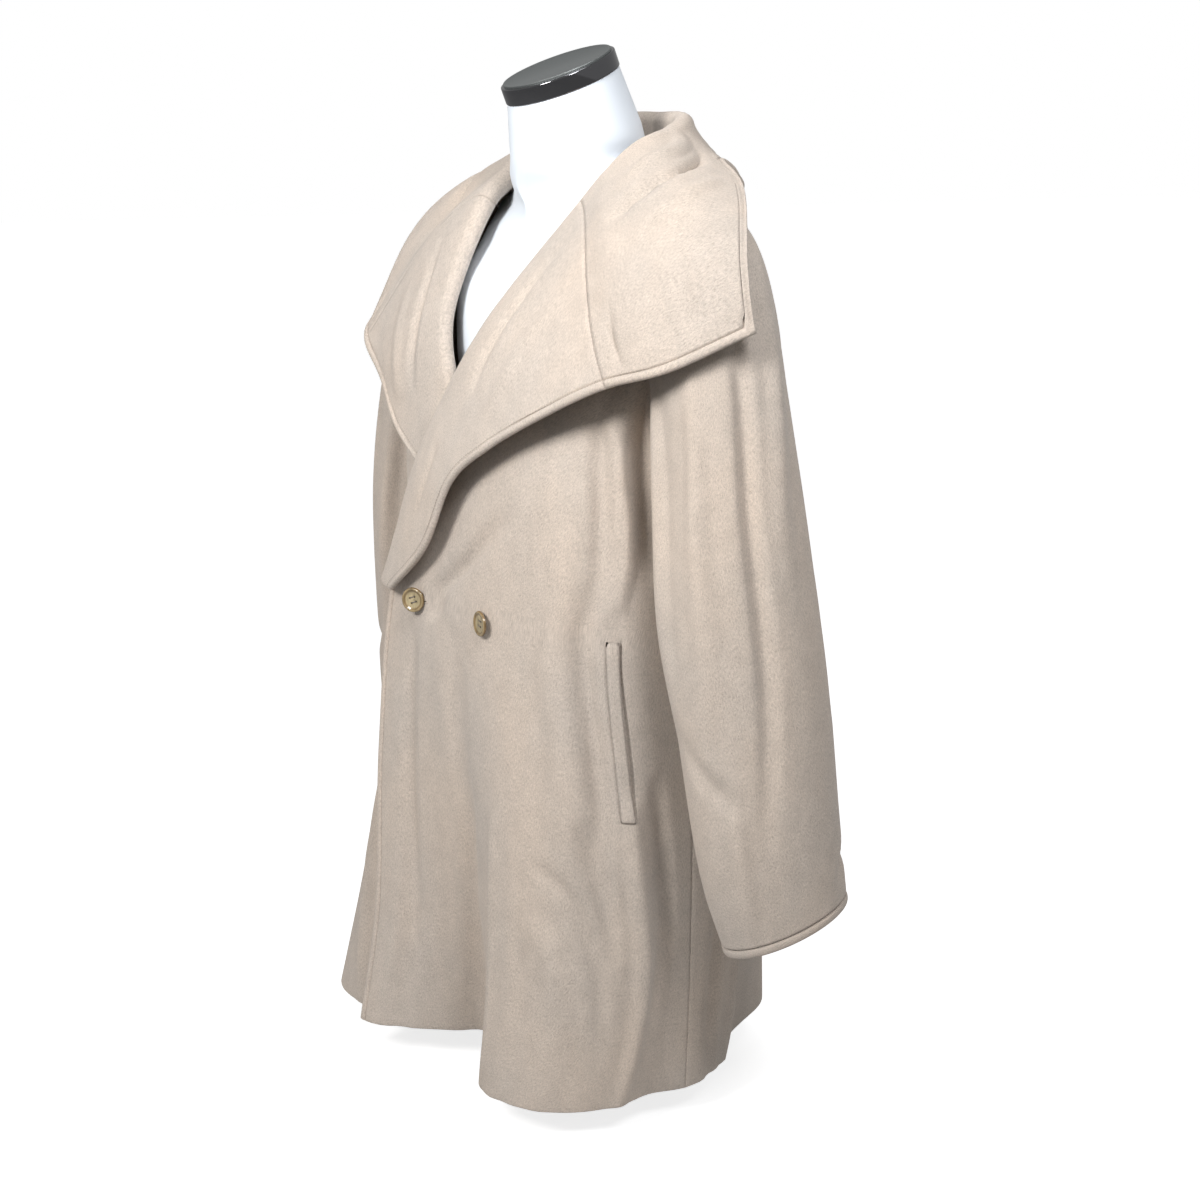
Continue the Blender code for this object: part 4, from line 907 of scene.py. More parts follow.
def make_collar(sizes, finish):
    surface = collar_surface()
    from_edge = columns_from_end(surface)
    rim = sides_rim(surface, SEAM_ROUND, EDGE_ROUND) * ends_rim(surface, SEAM_ROUND, SEAM_ROUND)
    raised = piped(from_edge, sizes.edge_roll, sizes.groove)
    bm = bmesh.new()
    outer, normals = shell(bm, surface, sizes.two_layers, 1, rim, raised)
    made = finish_cloth("collar_cloth", bm, finish)
    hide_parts("collar")
    column = outer.shape[1] - 1 - STITCH_COLUMN
    SEAM_LINES["collar"] = (outer[:, column], normals[:, column])
    return made


def make_welt(side, sizes, finish):
    """A pocket's welt, made from its front's own points and moved out. Its mouth stands off the front."""
    outer, normals, surface = OUTSIDES["front_" + side]
    low, high = POCKET_LENGTH_V
    inside = (surface.levels[:, 0] >= low) & (surface.levels[:, 0] <= high)
    points, outward = outer[inside, POCKET_BAND], normals[inside, POCKET_BAND]
    t = np.linspace(0, 1, len(points))[:, None]
    share = np.linspace(0, 1, points.shape[1])[None, :]
    off = 0.0002 + sizes.welt_gape * np.sin(math.pi * t) * share ** 2
    base = as_surface(points + outward * off[:, :, None], surface.levels[inside, 0], BODY_MIDDLE)
    rim = sides_rim(base, WELT_SIDES, WELT_SIDES) * ends_rim(base, WELT_ENDS, WELT_ENDS)
    bm = bmesh.new()
    shell(bm, base, sizes.cloth * 0.7, 1, rim, np.zeros(rim.shape))
    made = finish_cloth("pocket_welt_" + side + "_cloth", bm, finish)
    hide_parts("pocket_welt_" + side)
    return made


# ---------------------------------------------------------------- thread
def along_line(points, normals, pitch):
    """Places at an even pitch along a line: where they are, which way the line runs and faces there."""
    steps = np.linalg.norm(np.diff(points, axis=0), axis=1)
    length = np.concatenate([[0.0], np.cumsum(steps)])
    at = np.arange(pitch / 2, length[-1], pitch)
    place = np.stack([np.interp(at, length, points[:, axis]) for axis in range(3)], axis=1)
    ahead = np.stack([np.interp(at + pitch / 4, length, points[:, axis]) for axis in range(3)], axis=1)
    facing = np.stack([np.interp(at, length, normals[:, axis]) for axis in range(3)], axis=1)
    return place, ahead - place, facing


def add_stitch(bm, place, direction, facing, length, radius):
    """One stitch: a slim thread that dives into the cloth at both ends."""
    x = Vector(direction).normalized()
    z = Vector(facing)
    y = z.cross(x).normalized()
    z = x.cross(y)
    turn = Matrix((x, y, z)).transposed().to_4x4()
    scale = Matrix.Diagonal((length / 2, radius, radius, 1.0))
    bmesh.ops.create_uvsphere(bm, u_segments=6, v_segments=4, radius=1.0,
                              matrix=Matrix.Translation(Vector(place)) @ turn @ scale @ UPRIGHT)


def make_stitching(sizes, finish):
    """The topstitching of every turned edge."""
    made_all = []
    for name, (points, normals) in SEAM_LINES.items():
        bm = bmesh.new()
        for place, direction, facing in zip(*along_line(points, normals, sizes.stitch_pitch)):
            add_stitch(bm, place + facing * sizes.thread * 0.2, direction, facing,
                       sizes.stitch_pitch * 0.86, sizes.thread / 2)
        bmesh.ops.recalc_face_normals(bm, faces=bm.faces)
        made = add_object("topstitch_" + name, bm, finish)
        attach(made, "root")
        made_all.append(made)
    return made_all


# ---------------------------------------------------------------- buttons
def front_place(share, v):
    """The point of the left front's outer side at a share of row v, and the way that it faces."""
    outer, normals, surface = OUTSIDES["front_left"]
    row = int(np.argmin(np.abs(surface.levels[:, 0] - v)))
    column = int(np.argmin(np.abs(surface.distances[row] - share * surface.distances[row, -1])))
    return outer[row, column], normals[row, column]


# Half a button's outline from its middle below to its middle above, in shares of its radius and thickness.
BUTTON_PROFILE = (
    (0.0, 0.0), (0.60, 0.0), (0.80, 0.10), (0.93, 0.30), (1.0, 0.52), (0.99, 0.74), (0.95, 0.92),
    (0.89, 1.0), (0.82, 0.98), (0.76, 0.88), (0.70, 0.76), (0.62, 0.70), (0.40, 0.66), (0.0, 0.64),
)


def make_button(name, v, share, turn, finish, thread_finish, shank):
    """A turned four-hole button with its thread, standing off the cloth on a thread shank."""
    bm = bmesh.new()
    points = [bm.verts.new((r * BUTTON_RADIUS, 0.0, h * BUTTON_THICK)) for r, h in BUTTON_PROFILE]
    for low, high in zip(points, points[1:]):
        bm.edges.new((low, high))
    bmesh.ops.spin(bm, geom=bm.verts[:] + bm.edges[:], axis=(0, 0, 1), cent=(0, 0, 0), dvec=(0, 0, 0),
                   angle=2 * math.pi, steps=72, use_merge=True, use_duplicate=False)
    bmesh.ops.remove_doubles(bm, verts=bm.verts, dist=MERGE)
    bmesh.ops.recalc_face_normals(bm, faces=bm.faces)
    layer = bm.loops.layers.uv.verify()
    for face in bm.faces:
        for loop in face.loops:
            loop[layer].uv = loop.vert.co.xy / BUTTON_RADIUS
    point, outward = front_place(share, v)
    facing = Vector((outward[0] * math.cos(turn) - outward[1] * math.sin(turn),
                     outward[0] * math.sin(turn) + outward[1] * math.cos(turn), 0.0))
    reach = max(r * BUTTON_RADIUS * math.sin(abs(turn)) - h * BUTTON_THICK * math.cos(turn)
                for r, h in BUTTON_PROFILE)
    centre = Vector(point + outward * (BUTTON_CLEAR + reach))
    place = Matrix.Translation(centre) @ facing.to_track_quat("Z", "Y").to_matrix().to_4x4()
    place = place @ Matrix.Rotation(math.radians(shank), 4, "Z")
    made = add_object(name + "_horn", bm, finish)
    holes = bmesh.new()
    for x in (-1, 1):
        for y in (-1, 1):
            where = Matrix.Translation((x * BUTTON_HOLE_SPACING, y * BUTTON_HOLE_SPACING, 0.002))
            bmesh.ops.create_cone(holes, cap_ends=True, segments=20, radius1=BUTTON_HOLE_RADIUS,
                                  radius2=BUTTON_HOLE_RADIUS, depth=0.02, matrix=where)
    cutter = add_object(name + "_cutter", holes, finish)
    drill = made.modifiers.new("Holes", "BOOLEAN")
    drill.object = cutter
    bpy.context.view_layer.update()
    cut = bpy.data.meshes.new_from_object(made.evaluated_get(bpy.context.evaluated_depsgraph_get()))
    made.modifiers.clear()
    bpy.data.objects.remove(cutter)
    made.data = cut
    made.data.transform(place)
    made.data.set_sharp_from_angle(angle=math.radians(50))
    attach(made, "root")
    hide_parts(name)
    thread = bmesh.new()
    top = BUTTON_THICK * 0.64 + 0.0003
    for y in (-1, 1):
        for lift in (0.0, 0.00045):
            add_stitch(thread, (0.0, y * BUTTON_HOLE_SPACING + lift, top), (1, 0, 0), (0, 0, 1),
                       2 * BUTTON_HOLE_SPACING + 0.0012, 0.0004)
    bmesh.ops.create_cone(thread, cap_ends=True, segments=16, radius1=0.0030, radius2=0.0022,
                          depth=BUTTON_CLEAR + BUTTON_RADIUS * math.sin(abs(turn)) + 0.003,
                          matrix=Matrix.Translation((0, 0, -0.5 * BUTTON_RADIUS * math.sin(abs(turn)))))
    bmesh.ops.recalc_face_normals(thread, faces=thread.faces)
    sewn = add_object(name + "_thread", thread, thread_finish)
    sewn.data.transform(place)
    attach(sewn, "root")
    return made


def make_buttonhole(sizes, finish, slit_shadow_finish):
    """The worked buttonhole under the fastened button: a slit, painted near black as the shadow in its
    opening, with close stitches round it.
    """
    outer, normals, surface = OUTSIDES["front_left"]
    row = int(np.argmin(np.abs(surface.levels[:, 0] - BUTTON_V)))
    along = surface.distances[row]
    start = FASTENED_SHARE * along[-1] - 0.014
    at = np.linspace(start, start + sizes.buttonhole, 34)
    line = np.stack([np.interp(at, along, outer[row, :, axis]) for axis in range(3)], axis=1)
    facing = np.stack([np.interp(at, along, normals[row, :, axis]) for axis in range(3)], axis=1)
    bm, slit = bmesh.new(), bmesh.new()
    for index in range(1, len(line) - 1):
        ahead = line[index + 1] - line[index - 1]
        up = np.cross(facing[index], ahead)
        up = up / np.linalg.norm(up)
        for side in (-1, 1):
            add_stitch(bm, line[index] + up * side * 0.0012, up, facing[index], 0.0022, 0.00055)
        # the slit's thin strip carries the painted shadow of the opening
        add_stitch(slit, line[index] + facing[index] * 0.0001, ahead, facing[index], 0.0030, 0.00045)
    for index in (0, -1):
        add_stitch(bm, line[index], np.cross(facing[index], line[1] - line[0]), facing[index], 0.0046, 0.0007)
    for name, mesh, look in (("buttonhole_stitches", bm, finish), ("buttonhole_slit_shadow", slit, slit_shadow_finish)):
        bmesh.ops.recalc_face_normals(mesh, faces=mesh.faces)
        made = add_object(name, mesh, look)
        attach(made, "root")


# ---------------------------------------------------------------- dress form and stand
def make_form_cover(finish):
    """The white torso, up to the tilted plane under the neck ring."""
    angles = np.linspace(0, 2 * math.pi, 129)
    rows = [form_ring(z, angles) for z in np.linspace(FORM[0].z, FORM[-1].z, 120)]
    tilt = np.array([0.0, -math.sin(NECK_CAP_TILT), math.cos(NECK_CAP_TILT)])
    forward = np.array([0.0, -math.cos(NECK_CAP_TILT), -math.sin(NECK_CAP_TILT)])
    centre = np.array(NECK_CAP_CENTRE) - tilt * (NECK_CAP_HEIGHT / 2)
    last = rows[-1]
    for share in np.linspace(0, 1, 14)[1:]:
        top = np.array([centre + forward * math.cos(a) * NECK_COVER_RADIUS
                        + np.array([1.0, 0.0, 0.0]) * math.sin(a) * NECK_COVER_RADIUS for a in angles])
        rows.append(last * (1 - share) + top * share)
    bm = bmesh.new()
    grid_layer(bm, np.array(rows), np.zeros((len(rows), len(angles), 2)))
    bmesh.ops.remove_doubles(bm, verts=bm.verts, dist=MERGE)
    bmesh.ops.holes_fill(bm, edges=[edge for edge in bm.edges if edge.is_boundary], sides=0)
    bmesh.ops.recalc_face_normals(bm, faces=bm.faces)
    made = add_object("form_cover", bm, finish)
    made.data.set_sharp_from_angle(angle=math.radians(60))
    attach(made, "root")
    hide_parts("form_torso")
    return made


def turned_piece(name, node, profile, place, finish, steps=128):
    """A turned piece from a profile of (radius, height) points, closed on its axis."""
    bm = bmesh.new()
    points = [bm.verts.new((radius, 0.0, height)) for radius, height in profile]
    for low, high in zip(points, points[1:]):
        bm.edges.new((low, high))
    bmesh.ops.spin(bm, geom=bm.verts[:] + bm.edges[:], axis=(0, 0, 1), cent=(0, 0, 0), dvec=(0, 0, 0),
                   angle=2 * math.pi, steps=steps, use_merge=True, use_duplicate=False)
    bmesh.ops.remove_doubles(bm, verts=bm.verts, dist=MERGE)
    bmesh.ops.recalc_face_normals(bm, faces=bm.faces)
    bmesh.ops.transform(bm, matrix=place, verts=bm.verts)
    made = add_object(name, bm, finish)
    made.data.set_sharp_from_angle(angle=math.radians(35))
    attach(made, "root")
    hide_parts(node)
    return made


def rounded_profile(radius, low, high, edge):
    """A plain disc's profile, from its axis below to its axis above, with rounded edges."""
    profile = [(0.0, low)]
    for centre_z, start in ((low + edge, -90), (high - edge, 0)):
        for turn in range(0, 91, 15):
            angle = math.radians(start + turn)
            profile.append((radius - edge + edge * math.cos(angle), centre_z + edge * math.sin(angle)))
    profile.append((0.0, high))
    return profile


def make_neck_and_stand(ring_finish, top_finish, steel_finish):
    tilted = Matrix.Translation(NECK_CAP_CENTRE) @ Matrix.Rotation(NECK_CAP_TILT, 4, "X")
    half = NECK_CAP_HEIGHT / 2
    turned_piece("neck_ring", "form_neck_ring",
                 rounded_profile(NECK_CAP_RADIUS, -half, half, 0.0014), tilted, ring_finish)
    lip = [(0.0, half + 0.0011), (NECK_TOP_RADIUS - 0.004, half + 0.0011),
           (NECK_TOP_RADIUS - 0.002, half + 0.0020), (NECK_TOP_RADIUS - 0.0006, half + 0.0022),
           (NECK_TOP_RADIUS, half + 0.0016), (NECK_TOP_RADIUS, half), (0.0, half - 0.0004)]
    turned_piece("neck_top", "form_neck_top", lip[::-1], tilted, top_finish)
    foot = [(0.0, 0.0), (FOOT_RADIUS - 0.001, 0.0), (FOOT_RADIUS, 0.001), (FOOT_RADIUS, 0.006),
            (FOOT_RADIUS - 0.002, 0.0085), (0.050, 0.0105), (0.024, 0.0115), (0.020, FOOT_THICK),
            (0.0, FOOT_THICK)]
    standing = Matrix.Translation((0, FOOT_Y, 0))
    turned_piece("stand_foot", "form_foot", foot, standing, steel_finish)
    low, high = FOOT_THICK, FORM[0].z
    pole = [(0.0, low), (POLE_RADIUS + 0.002, low), (POLE_RADIUS + 0.002, low + 0.018),
            (POLE_RADIUS, low + 0.020), (POLE_RADIUS, high - 0.020), (POLE_RADIUS + 0.002, high - 0.018),
            (POLE_RADIUS + 0.002, high), (0.0, high)]
    turned_piece("stand_pole", "form_pole", pole, standing, steel_finish)


# ---------------------------------------------------------------- finishes
def new_finish(name):
    made = bpy.data.materials.new(name)
    made.use_nodes = True
    tree = made.node_tree
    return made, tree, tree.nodes["Principled BSDF"]


def add_node(tree, kind, **values):
    made = tree.nodes.new(kind)
    for name, value in values.items():
        made.inputs[name.replace("_", " ")].default_value = value
    return made


def noise(tree, vector, scale, detail, roughness=0.5):
    made = add_node(tree, "ShaderNodeTexNoise", Scale=scale, Detail=detail, Roughness=roughness)
    tree.links.new(vector, made.inputs["Vector"])
    return made.outputs["Fac"]


def ramp(tree, value, stops):
    made = tree.nodes.new("ShaderNodeValToRGB")
    while len(made.color_ramp.elements) < len(stops):
        made.color_ramp.elements.new(0.5)
    for element, (place, colour) in zip(made.color_ramp.elements, stops):
        element.position = place
        element.color = (*colour, 1.0) if len(colour) == 3 else (colour[0],) * 3 + (1.0,)
    tree.links.new(value, made.inputs["Fac"])
    return made.outputs["Color"]


def multiply(tree, first, second, amount=1.0):
    made = tree.nodes.new("ShaderNodeMix")
    made.data_type = "RGBA"
    made.blend_type = "MULTIPLY"
    made.inputs[0].default_value = amount
    tree.links.new(first, made.inputs[6])
    tree.links.new(second, made.inputs[7])
    return made.outputs[2]


def stretched(tree, kind, scale):
    """The piece's own coordinates, drawn out by the given scale."""
    source = tree.nodes.new("ShaderNodeTexCoord")
    mapping = add_node(tree, "ShaderNodeMapping", Scale=scale)
    tree.links.new(source.outputs[kind], mapping.inputs["Vector"])
    return mapping.outputs["Vector"]


def bumped(tree, shader, height, strength, distance, under=None):
    made = add_node(tree, "ShaderNodeBump", Strength=strength, Distance=distance)
    tree.links.new(height, made.inputs["Height"])
    if under is not None:
        tree.links.new(under, made.inputs["Normal"])
    tree.links.new(made.outputs["Normal"], shader.inputs["Normal"])
    return made.outputs["Normal"]


def shade(colour, factor):
    return tuple(min(1.0, channel * factor) for channel in colour)


def wool_finish(looks):
    """Brushed wool coating: short fibres that lie along the cloth, flecked, over soft clouds of shade."""
    made, tree, shader = new_finish("brushed wool coating")
    colour = tuple(looks.wool)
    fibres = noise(tree, stretched(tree, "UV", (1.0, 0.45, 1.0)), 1 / looks.fibre, 4.0, 0.65)
    flecks = noise(tree, stretched(tree, "Object", (1.0, 1.0, 0.8)), 1 / (looks.fibre * 0.5), 3.0, 0.7)
    mottle = noise(tree, stretched(tree, "Object", (1.0, 1.0, 0.7)), 70.0, 4.0, 0.6)
    clouds = noise(tree, stretched(tree, "Object", (1.0, 1.0, 0.5)), 11.0, 3.0)
    base = ramp(tree, fibres, ((0.28, shade(colour, 0.76)), (0.50, colour), (0.72, shade(colour, 1.20))))
    fleck = ramp(tree, flecks, ((0.32, (0.74,)), (0.50, (1.0,)), (0.70, (1.06,))))
    patch = ramp(tree, mottle, ((0.32, (0.93, 0.93, 0.93)), (0.68, (1.03, 1.03, 1.03))))
    cloud = ramp(tree, clouds, ((0.34, (0.90, 0.915, 0.93)), (0.66, (1.02, 1.0, 0.98))))
    tint = multiply(tree, multiply(tree, multiply(tree, base, fleck), patch), cloud)
    tree.links.new(tint, shader.inputs["Base Color"])
    rough = bumped(tree, shader, flecks, 0.45, 0.0009)
    soft = bumped(tree, shader, fibres, 0.65, 0.0014, rough)
    bumped(tree, shader, mottle, 0.30, 0.0020, soft)
    shader.inputs["Roughness"].default_value = 0.92
    shader.inputs["Specular IOR Level"].default_value = 0.15
    shader.inputs["Sheen Weight"].default_value = looks.sheen
    shader.inputs["Sheen Roughness"].default_value = 0.45
    shader.inputs["Sheen Tint"].default_value = (1.0, 0.95, 0.90, 1.0)
    return made


def thread_finish(looks, name, factor):
    made, tree, shader = new_finish(name)
    twist = noise(tree, stretched(tree, "Object", (1.0, 1.0, 1.0)), 3000.0, 2.0)
    tint = ramp(tree, twist, ((0.35, shade(looks.wool, factor * 0.85)), (0.65, shade(looks.wool, factor))))
    tree.links.new(tint, shader.inputs["Base Color"])
    shader.inputs["Roughness"].default_value = 0.7
    return made


def horn_finish(looks):
    """Polished horn: olive streaks, a paler face and a brown rim, by the place on the button."""
    made, tree, shader = new_finish("olive horn")
    streaks = noise(tree, stretched(tree, "Object", (1.0, 1.0, 0.35)), 190.0, 5.0, 0.6)
    colour = tuple(looks.horn)
    base = ramp(tree, streaks, ((0.30, shade(colour, 0.60)), (0.50, colour), (0.70, shade(colour, 1.45))))
    place = tree.nodes.new("ShaderNodeTexCoord")
    radius = tree.nodes.new("ShaderNodeVectorMath")
    radius.operation = "LENGTH"
    tree.links.new(place.outputs["UV"], radius.inputs[0])
    rim = ramp(tree, radius.outputs["Value"],
               ((0.0, (1.0,)), (0.60, (1.12, 1.10, 1.06)), (0.74, (0.55, 0.44, 0.32)),
                (0.90, (1.0, 0.92, 0.80)), (1.0, (0.50, 0.36, 0.22))))
    tree.links.new(multiply(tree, base, rim), shader.inputs["Base Color"])
    shader.inputs["Roughness"].default_value = 0.20
    shader.inputs["Coat Weight"].default_value = 0.40
    shader.inputs["Coat Roughness"].default_value = 0.06
    return made


def cover_finish(looks):
    """The form's close white cover, faintly woven."""
    made, tree, shader = new_finish("white form cover")
    colour = tuple(looks.form)
    mottle = noise(tree, stretched(tree, "Object", (1.0, 1.0, 1.0)), 9.0, 2.0)
    tint = ramp(tree, mottle, ((0.3, shade(colour, 0.97)), (0.7, colour)))
    tree.links.new(tint, shader.inputs["Base Color"])
    weave = noise(tree, stretched(tree, "Object", (1.0, 1.0, 1.0)), 1400.0, 2.0)
    bumped(tree, shader, weave, 0.12, 0.0003)
    shader.inputs["Roughness"].default_value = 0.55
    shader.inputs["Sheen Weight"].default_value = 0.10
    return made


def metal_finish(name, colour, roughness, grain, strength):
    made, tree, shader = new_finish(name)
    scratches = noise(tree, stretched(tree, "Object", grain), 260.0, 4.0)
    tint = ramp(tree, scratches, ((0.3, shade(colour, 0.90)), (0.7, colour)))
    tree.links.new(tint, shader.inputs["Base Color"])
    bumped(tree, shader, scratches, strength, 0.0002)
    shader.inputs["Metallic"].default_value = 1.0
    shader.inputs["Roughness"].default_value = roughness
    return made


# Painted shadow: a near-black colour, faintly speckled, that stands in for the shade inside the buttonhole's
# open slit.
def slit_shadow_finish(name):
    made, tree, shader = new_finish(name)
    depth = noise(tree, stretched(tree, "Object", (1.0, 1.0, 1.0)), 900.0, 2.0)
    tint = ramp(tree, depth, ((0.3, (0.020, 0.014, 0.010)), (0.7, (0.045, 0.032, 0.022))))
    tree.links.new(tint, shader.inputs["Base Color"])
    shader.inputs["Roughness"].default_value = 0.95
    return made


# ---------------------------------------------------------------- camera, light and floor
def add_light(name, azimuth, elevation, distance, size, spread, power, colour):
    light = bpy.data.lights.new(name, "AREA")
    light.energy = power
    light.color = colour
    light.shape = "DISK"
    light.size = size
    light.spread = math.radians(spread)
    made = bpy.data.objects.new(name, light)
    azimuth, elevation = math.radians(azimuth), math.radians(elevation)
    away = Vector((math.sin(azimuth) * math.cos(elevation), -math.cos(azimuth) * math.cos(elevation),
                   math.sin(elevation)))
    made.location = Vector(AIM) + away * distance
    made.rotation_euler = away.to_track_quat("Z", "Y").to_euler()
    bpy.context.scene.collection.objects.link(made)


def make_camera():
    data = bpy.data.cameras.new("view of the photograph")
    data.lens = CAMERA_FOCAL_PX * 36.0 / PHOTO_PX
    data.sensor_width = 36.0
    made = bpy.data.objects.new("camera", data)
    azimuth = math.radians(CAMERA_AZIMUTH)
    made.location = (math.sin(azimuth) * CAMERA_DISTANCE, -math.cos(azimuth) * CAMERA_DISTANCE, CAMERA_HEIGHT)
    turned = azimuth + math.atan((AXIS_PX - PHOTO_PX / 2) / CAMERA_FOCAL_PX)
    lowered = math.atan((PHOTO_PX / 2 - HORIZON_PX) / CAMERA_FOCAL_PX)
    made.rotation_euler = (math.pi / 2 - lowered, 0.0, turned)
    bpy.context.scene.collection.objects.link(made)
    bpy.context.scene.camera = made


def brighten_for_camera(tree, strength, lit, seen):
    """Give the camera a strength of its own, so that a pale backdrop doesn't light the coat."""
    path = tree.nodes.new("ShaderNodeLightPath")
    span = tree.nodes.new("ShaderNodeMapRange")
    span.inputs["To Min"].default_value = lit
    span.inputs["To Max"].default_value = seen
    tree.links.new(path.outputs["Is Camera Ray"], span.inputs["Value"])
    tree.links.new(span.outputs["Result"], strength)


def make_floor(looks):
    made, tree, shader = new_finish("pale studio floor")
    paper = noise(tree, stretched(tree, "Object", (1.0, 1.0, 1.0)), 6.0, 2.0)
    tint = ramp(tree, paper, ((0.3, shade(looks.floor, 0.985)), (0.7, tuple(looks.floor))))
    tree.links.new(tint, shader.inputs["Base Color"])
    shader.inputs["Roughness"].default_value = 0.9
    shader.inputs["Emission Color"].default_value = (1.0, 1.0, 1.0, 1.0)
    brighten_for_camera(tree, shader.inputs["Emission Strength"], 0.0, FLOOR_GLOW)
    bm = bmesh.new()
    bmesh.ops.create_grid(bm, x_segments=8, y_segments=8, size=20.0)
    floor = add_object("floor", bm, made)


def make_world(looks):
    world = bpy.data.worlds.new("studio")
    bpy.context.scene.world = world
    world.use_nodes = True
    background = world.node_tree.nodes["Background"]
    background.inputs["Color"].default_value = (*looks.sky, 1.0)
    brighten_for_camera(world.node_tree, background.inputs["Strength"], looks.sky_strength, 1.0)


# ---------------------------------------------------------------- sizes and colours that a user would change
class CoatSizes(bpy.types.PropertyGroup):
    """Thicknesses of the cloth, and the make of its edges and stitches."""

    cloth: FloatProperty(name="Cloth", description="Thickness of one layer of wool coating",
                         default=CLOTH, unit="LENGTH")
    two_layers: FloatProperty(name="Two layers", description="Thickness of the collar and the lapels",
                              default=TWO_LAYERS, unit="LENGTH")
    edge_roll: FloatProperty(name="Edge roll", description="Height of a turned edge over the cloth",
                             default=0.0015, unit="LENGTH")
    groove: FloatProperty(name="Groove", description="Depth of the groove that the topstitching pulls in",
                          default=0.0017, unit="LENGTH")
    stitch_pitch: FloatProperty(name="Stitch pitch", description="Distance from one stitch to the next",
                                default=0.0036, unit="LENGTH")
    thread: FloatProperty(name="Thread", description="Diameter of the topstitching thread",
                          default=0.0006, unit="LENGTH")
    welt_gape: FloatProperty(name="Pocket gape", description="How far a pocket's mouth stands off the front",
                             default=0.0022, unit="LENGTH")
    buttonhole: FloatProperty(name="Buttonhole", description="Length of the worked buttonhole",
                              default=0.031, unit="LENGTH")


class CoatLooks(bpy.types.PropertyGroup):
    """Colours of the coat, the form and the studio."""

    wool: FloatVectorProperty(name="Wool", description="Colour of the wool coating", subtype="COLOR",
                              size=3, min=0.0, max=1.0, default=(0.56, 0.485, 0.42))
    fibre: FloatProperty(name="Fibre", description="Size of the marks that the nap's fibres make",
                         default=0.0014, unit="LENGTH")
    sheen: FloatProperty(name="Sheen", description="Strength of the nap's soft sheen", default=0.30,
                         min=0.0, max=1.0)
    horn: FloatVectorProperty(name="Horn", description="Colour of the horn buttons", subtype="COLOR",
                              size=3, min=0.0, max=1.0, default=(0.30, 0.25, 0.155))
    form: FloatVectorProperty(name="Form", description="Colour of the form's cover", subtype="COLOR",
                              size=3, min=0.0, max=1.0, default=(0.80, 0.86, 0.93))
    floor: FloatVectorProperty(name="Floor", description="Colour of the studio floor", subtype="COLOR",
                               size=3, min=0.0, max=1.0, default=(0.62, 0.62, 0.62))
    sky: FloatVectorProperty(name="Surroundings", description="Colour of the light from all round",
                             subtype="COLOR", size=3, min=0.0, max=1.0, default=(1.0, 1.0, 1.0))
    sky_strength: FloatProperty(name="Surrounding light", description="Strength of the light from all round",
                                default=0.36, min=0.0, max=5.0)


# ---------------------------------------------------------------- operators
class COAT_OT_form(bpy.types.Operator):
    """Make the white dress form with its neck ring, pole and foot"""

    bl_idname = "coat.form"
    bl_label = "Dress form"

    def execute(self, context):
        looks = context.scene.coat_looks
        make_form_cover(cover_finish(looks))
        ring = metal_finish("polished ring", (0.20, 0.20, 0.21), 0.07, (1.0, 1.0, 12.0), 0.02)
        top = metal_finish("brushed grey top", (0.30, 0.32, 0.32), 0.42, (1.0, 14.0, 1.0), 0.15)
        steel = metal_finish("satin steel", (0.56, 0.57, 0.58), 0.30, (1.0, 1.0, 10.0), 0.08)
        make_neck_and_stand(ring, top, steel)
        return {"FINISHED"}


class COAT_OT_body(bpy.types.Operator):
    """Make the two fronts and the back"""

    bl_idname = "coat.body"
    bl_label = "Fronts and back"

    def execute(self, context):
        sizes, finish = context.scene.coat_sizes, FINISHES["wool"]
        for side in ("left", "right"):
            front = make_front(side, sizes, finish)
        make_back(sizes, finish)
        return {"FINISHED"}


class COAT_OT_sleeves(bpy.types.Operator):
    """Make the two sleeves"""

    bl_idname = "coat.sleeves"
    bl_label = "Sleeves"

    def execute(self, context):
        for side in ("left", "right"):
            sleeve = make_sleeve(side, context.scene.coat_sizes, FINISHES["wool"])
        return {"FINISHED"}


class COAT_OT_collar(bpy.types.Operator):
    """Make the collar and the two lapels"""

    bl_idname = "coat.collar"
    bl_label = "Collar and lapels"

    def execute(self, context):
        for side in ("left", "right"):
            lapel = make_lapel(side, context.scene.coat_sizes, FINISHES["wool"])
        make_collar(context.scene.coat_sizes, FINISHES["wool"])
        return {"FINISHED"}


class COAT_OT_pockets(bpy.types.Operator):
    """Make the two pocket welts"""

    bl_idname = "coat.pockets"
    bl_label = "Pocket welts"

    def execute(self, context):
        for side in ("left", "right"):
            welt = make_welt(side, context.scene.coat_sizes, FINISHES["wool"])
        return {"FINISHED"}


class COAT_OT_stitching(bpy.types.Operator):
    """Sew the topstitching and the buttonhole"""

    bl_idname = "coat.stitching"
    bl_label = "Topstitching and buttonhole"

    def execute(self, context):
        sizes, looks = context.scene.coat_sizes, context.scene.coat_looks
        make_stitching(sizes, thread_finish(looks, "topstitching thread", 0.62))
        # the buttonhole's slit gets a near-black painted shadow
        make_buttonhole(sizes, thread_finish(looks, "buttonhole thread", 0.80), slit_shadow_finish("painted shadow in the slit"))
        return {"FINISHED"}


class COAT_OT_buttons(bpy.types.Operator):
    """Make the fastened button and the spare one beside it"""

    bl_idname = "coat.buttons"
    bl_label = "Buttons"

    def execute(self, context):
        looks = context.scene.coat_looks
        horn, thread = horn_finish(looks), thread_finish(looks, "button thread", 0.30)
        make_button("button_fastened", BUTTON_V, FASTENED_SHARE, FASTENED_TURN, horn, thread, 20)
        make_button("button_spare", BUTTON_V, SPARE_SHARE, SPARE_TURN, horn, thread, -10)
        return {"FINISHED"}


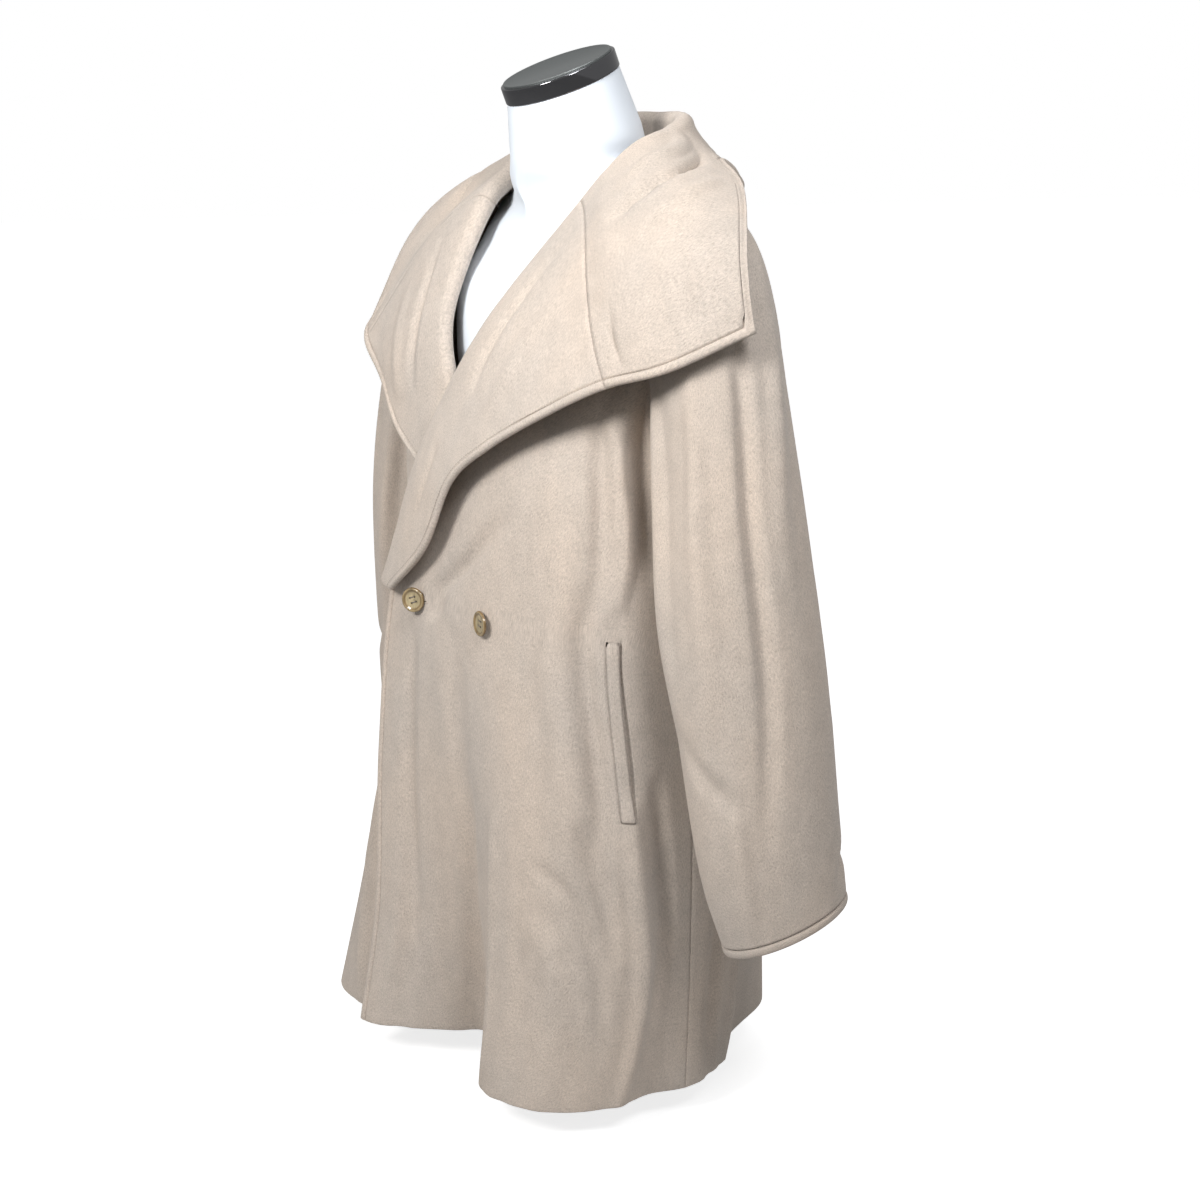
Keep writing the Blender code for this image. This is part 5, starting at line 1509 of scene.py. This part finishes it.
class COAT_OT_stage(bpy.types.Operator):
    """Set the camera, the studio light and the floor"""

    bl_idname = "coat.stage"
    bl_label = "Stage"

    def execute(self, context):
        looks = context.scene.coat_looks
        context.scene.view_settings.view_transform = "Standard"
        make_camera()
        make_world(looks)
        make_floor(looks)
        for light in LIGHTS:
            add_light(*light)
        return {"FINISHED"}


class COAT_PT_panel(bpy.types.Panel):
    """Lists the steps that make the coat"""

    bl_label = "Wool coat"
    bl_space_type = "VIEW_3D"
    bl_region_type = "UI"
    bl_category = "Coat"

    def draw(self, context):
        for operator in OPERATORS:
            self.layout.operator(operator.bl_idname)
        for group in (context.scene.coat_sizes, context.scene.coat_looks):
            column = self.layout.column()
            for name in group.bl_rna.properties.keys():
                if name not in ("rna_type", "name"):
                    column.prop(group, name)


# ---------------------------------------------------------------- what the operators share
FRONT_TABLES = {
    "left": (LEFT_FRONT, LEFT_FRONT_FOLDS, LEFT_COLLAR),
    "right": (RIGHT_FRONT, RIGHT_FRONT_FOLDS, RIGHT_COLLAR),
}
BODY_MIDDLE = (0.0, 0.0, 0.5)
COLLAR_MIDDLE = (0.0, 0.0, 0.55)
SLEEVE_LENGTH = 0.62
LAPEL_METRES = 0.85       # length of a lapel's edge for a whole turn of q
COLLAR_METRES = 1.05
CORNER_LEVELS = tuple(CORNER_Q + 0.003 * step for step in range(24))
TURN_BLOCK = SEAM_ROUND + tuple(0.0025 * step for step in range(1, 25))
NECK_COVER_RADIUS = 0.0575
WELT_SIDES, WELT_ENDS = (0.0, 0.0008), (0.0, 0.0010)
UPRIGHT = Matrix.Rotation(math.pi / 2, 4, "Y")
SEAM_LINES, OUTSIDES, FINISHES = {}, {}, {}
PHOTO_PX, CAMERA_FOCAL_PX, HORIZON_PX, AXIS_PX = 1200, 2300, 120, 575
CAMERA_AZIMUTH, CAMERA_DISTANCE, CAMERA_HEIGHT = 60.0, 2.3, 0.962
FLOOR_GLOW = 0.78
AIM = (0.0, 0.0, 0.78)
# name, azimuth, elevation, distance, size, spread, power, colour
LIGHTS = (
    ("key", 22, 24, 2.2, 0.7, 70, 7.5, (1.0, 0.985, 0.965)),
    ("fill", 76, 34, 2.2, 0.7, 80, 5.5, (0.98, 0.985, 1.0)),
    ("top", 45, 80, 2.0, 0.8, 120, 3, (1.0, 1.0, 1.0)),
)


GROUPS = (CoatSizes, CoatLooks)
OPERATORS = (COAT_OT_form, COAT_OT_body, COAT_OT_sleeves, COAT_OT_collar, COAT_OT_pockets,
             COAT_OT_stitching, COAT_OT_buttons, COAT_OT_stage)


def register():
    for kind in GROUPS + OPERATORS + (COAT_PT_panel,):
        bpy.utils.register_class(kind)
    bpy.types.Scene.coat_sizes = PointerProperty(type=CoatSizes)
    bpy.types.Scene.coat_looks = PointerProperty(type=CoatLooks)


def unregister():
    del bpy.types.Scene.coat_looks
    del bpy.types.Scene.coat_sizes
    for kind in reversed(GROUPS + OPERATORS + (COAT_PT_panel,)):
        bpy.utils.unregister_class(kind)


def main():
    register()
    FINISHES["wool"] = wool_finish(bpy.context.scene.coat_looks)
    bpy.ops.coat.form()
    bpy.ops.coat.body()
    bpy.ops.coat.sleeves()
    bpy.ops.coat.collar()
    bpy.ops.coat.pockets()
    bpy.ops.coat.stitching()
    bpy.ops.coat.buttons()
    bpy.ops.coat.stage()


if __name__ == "__main__":
    main()
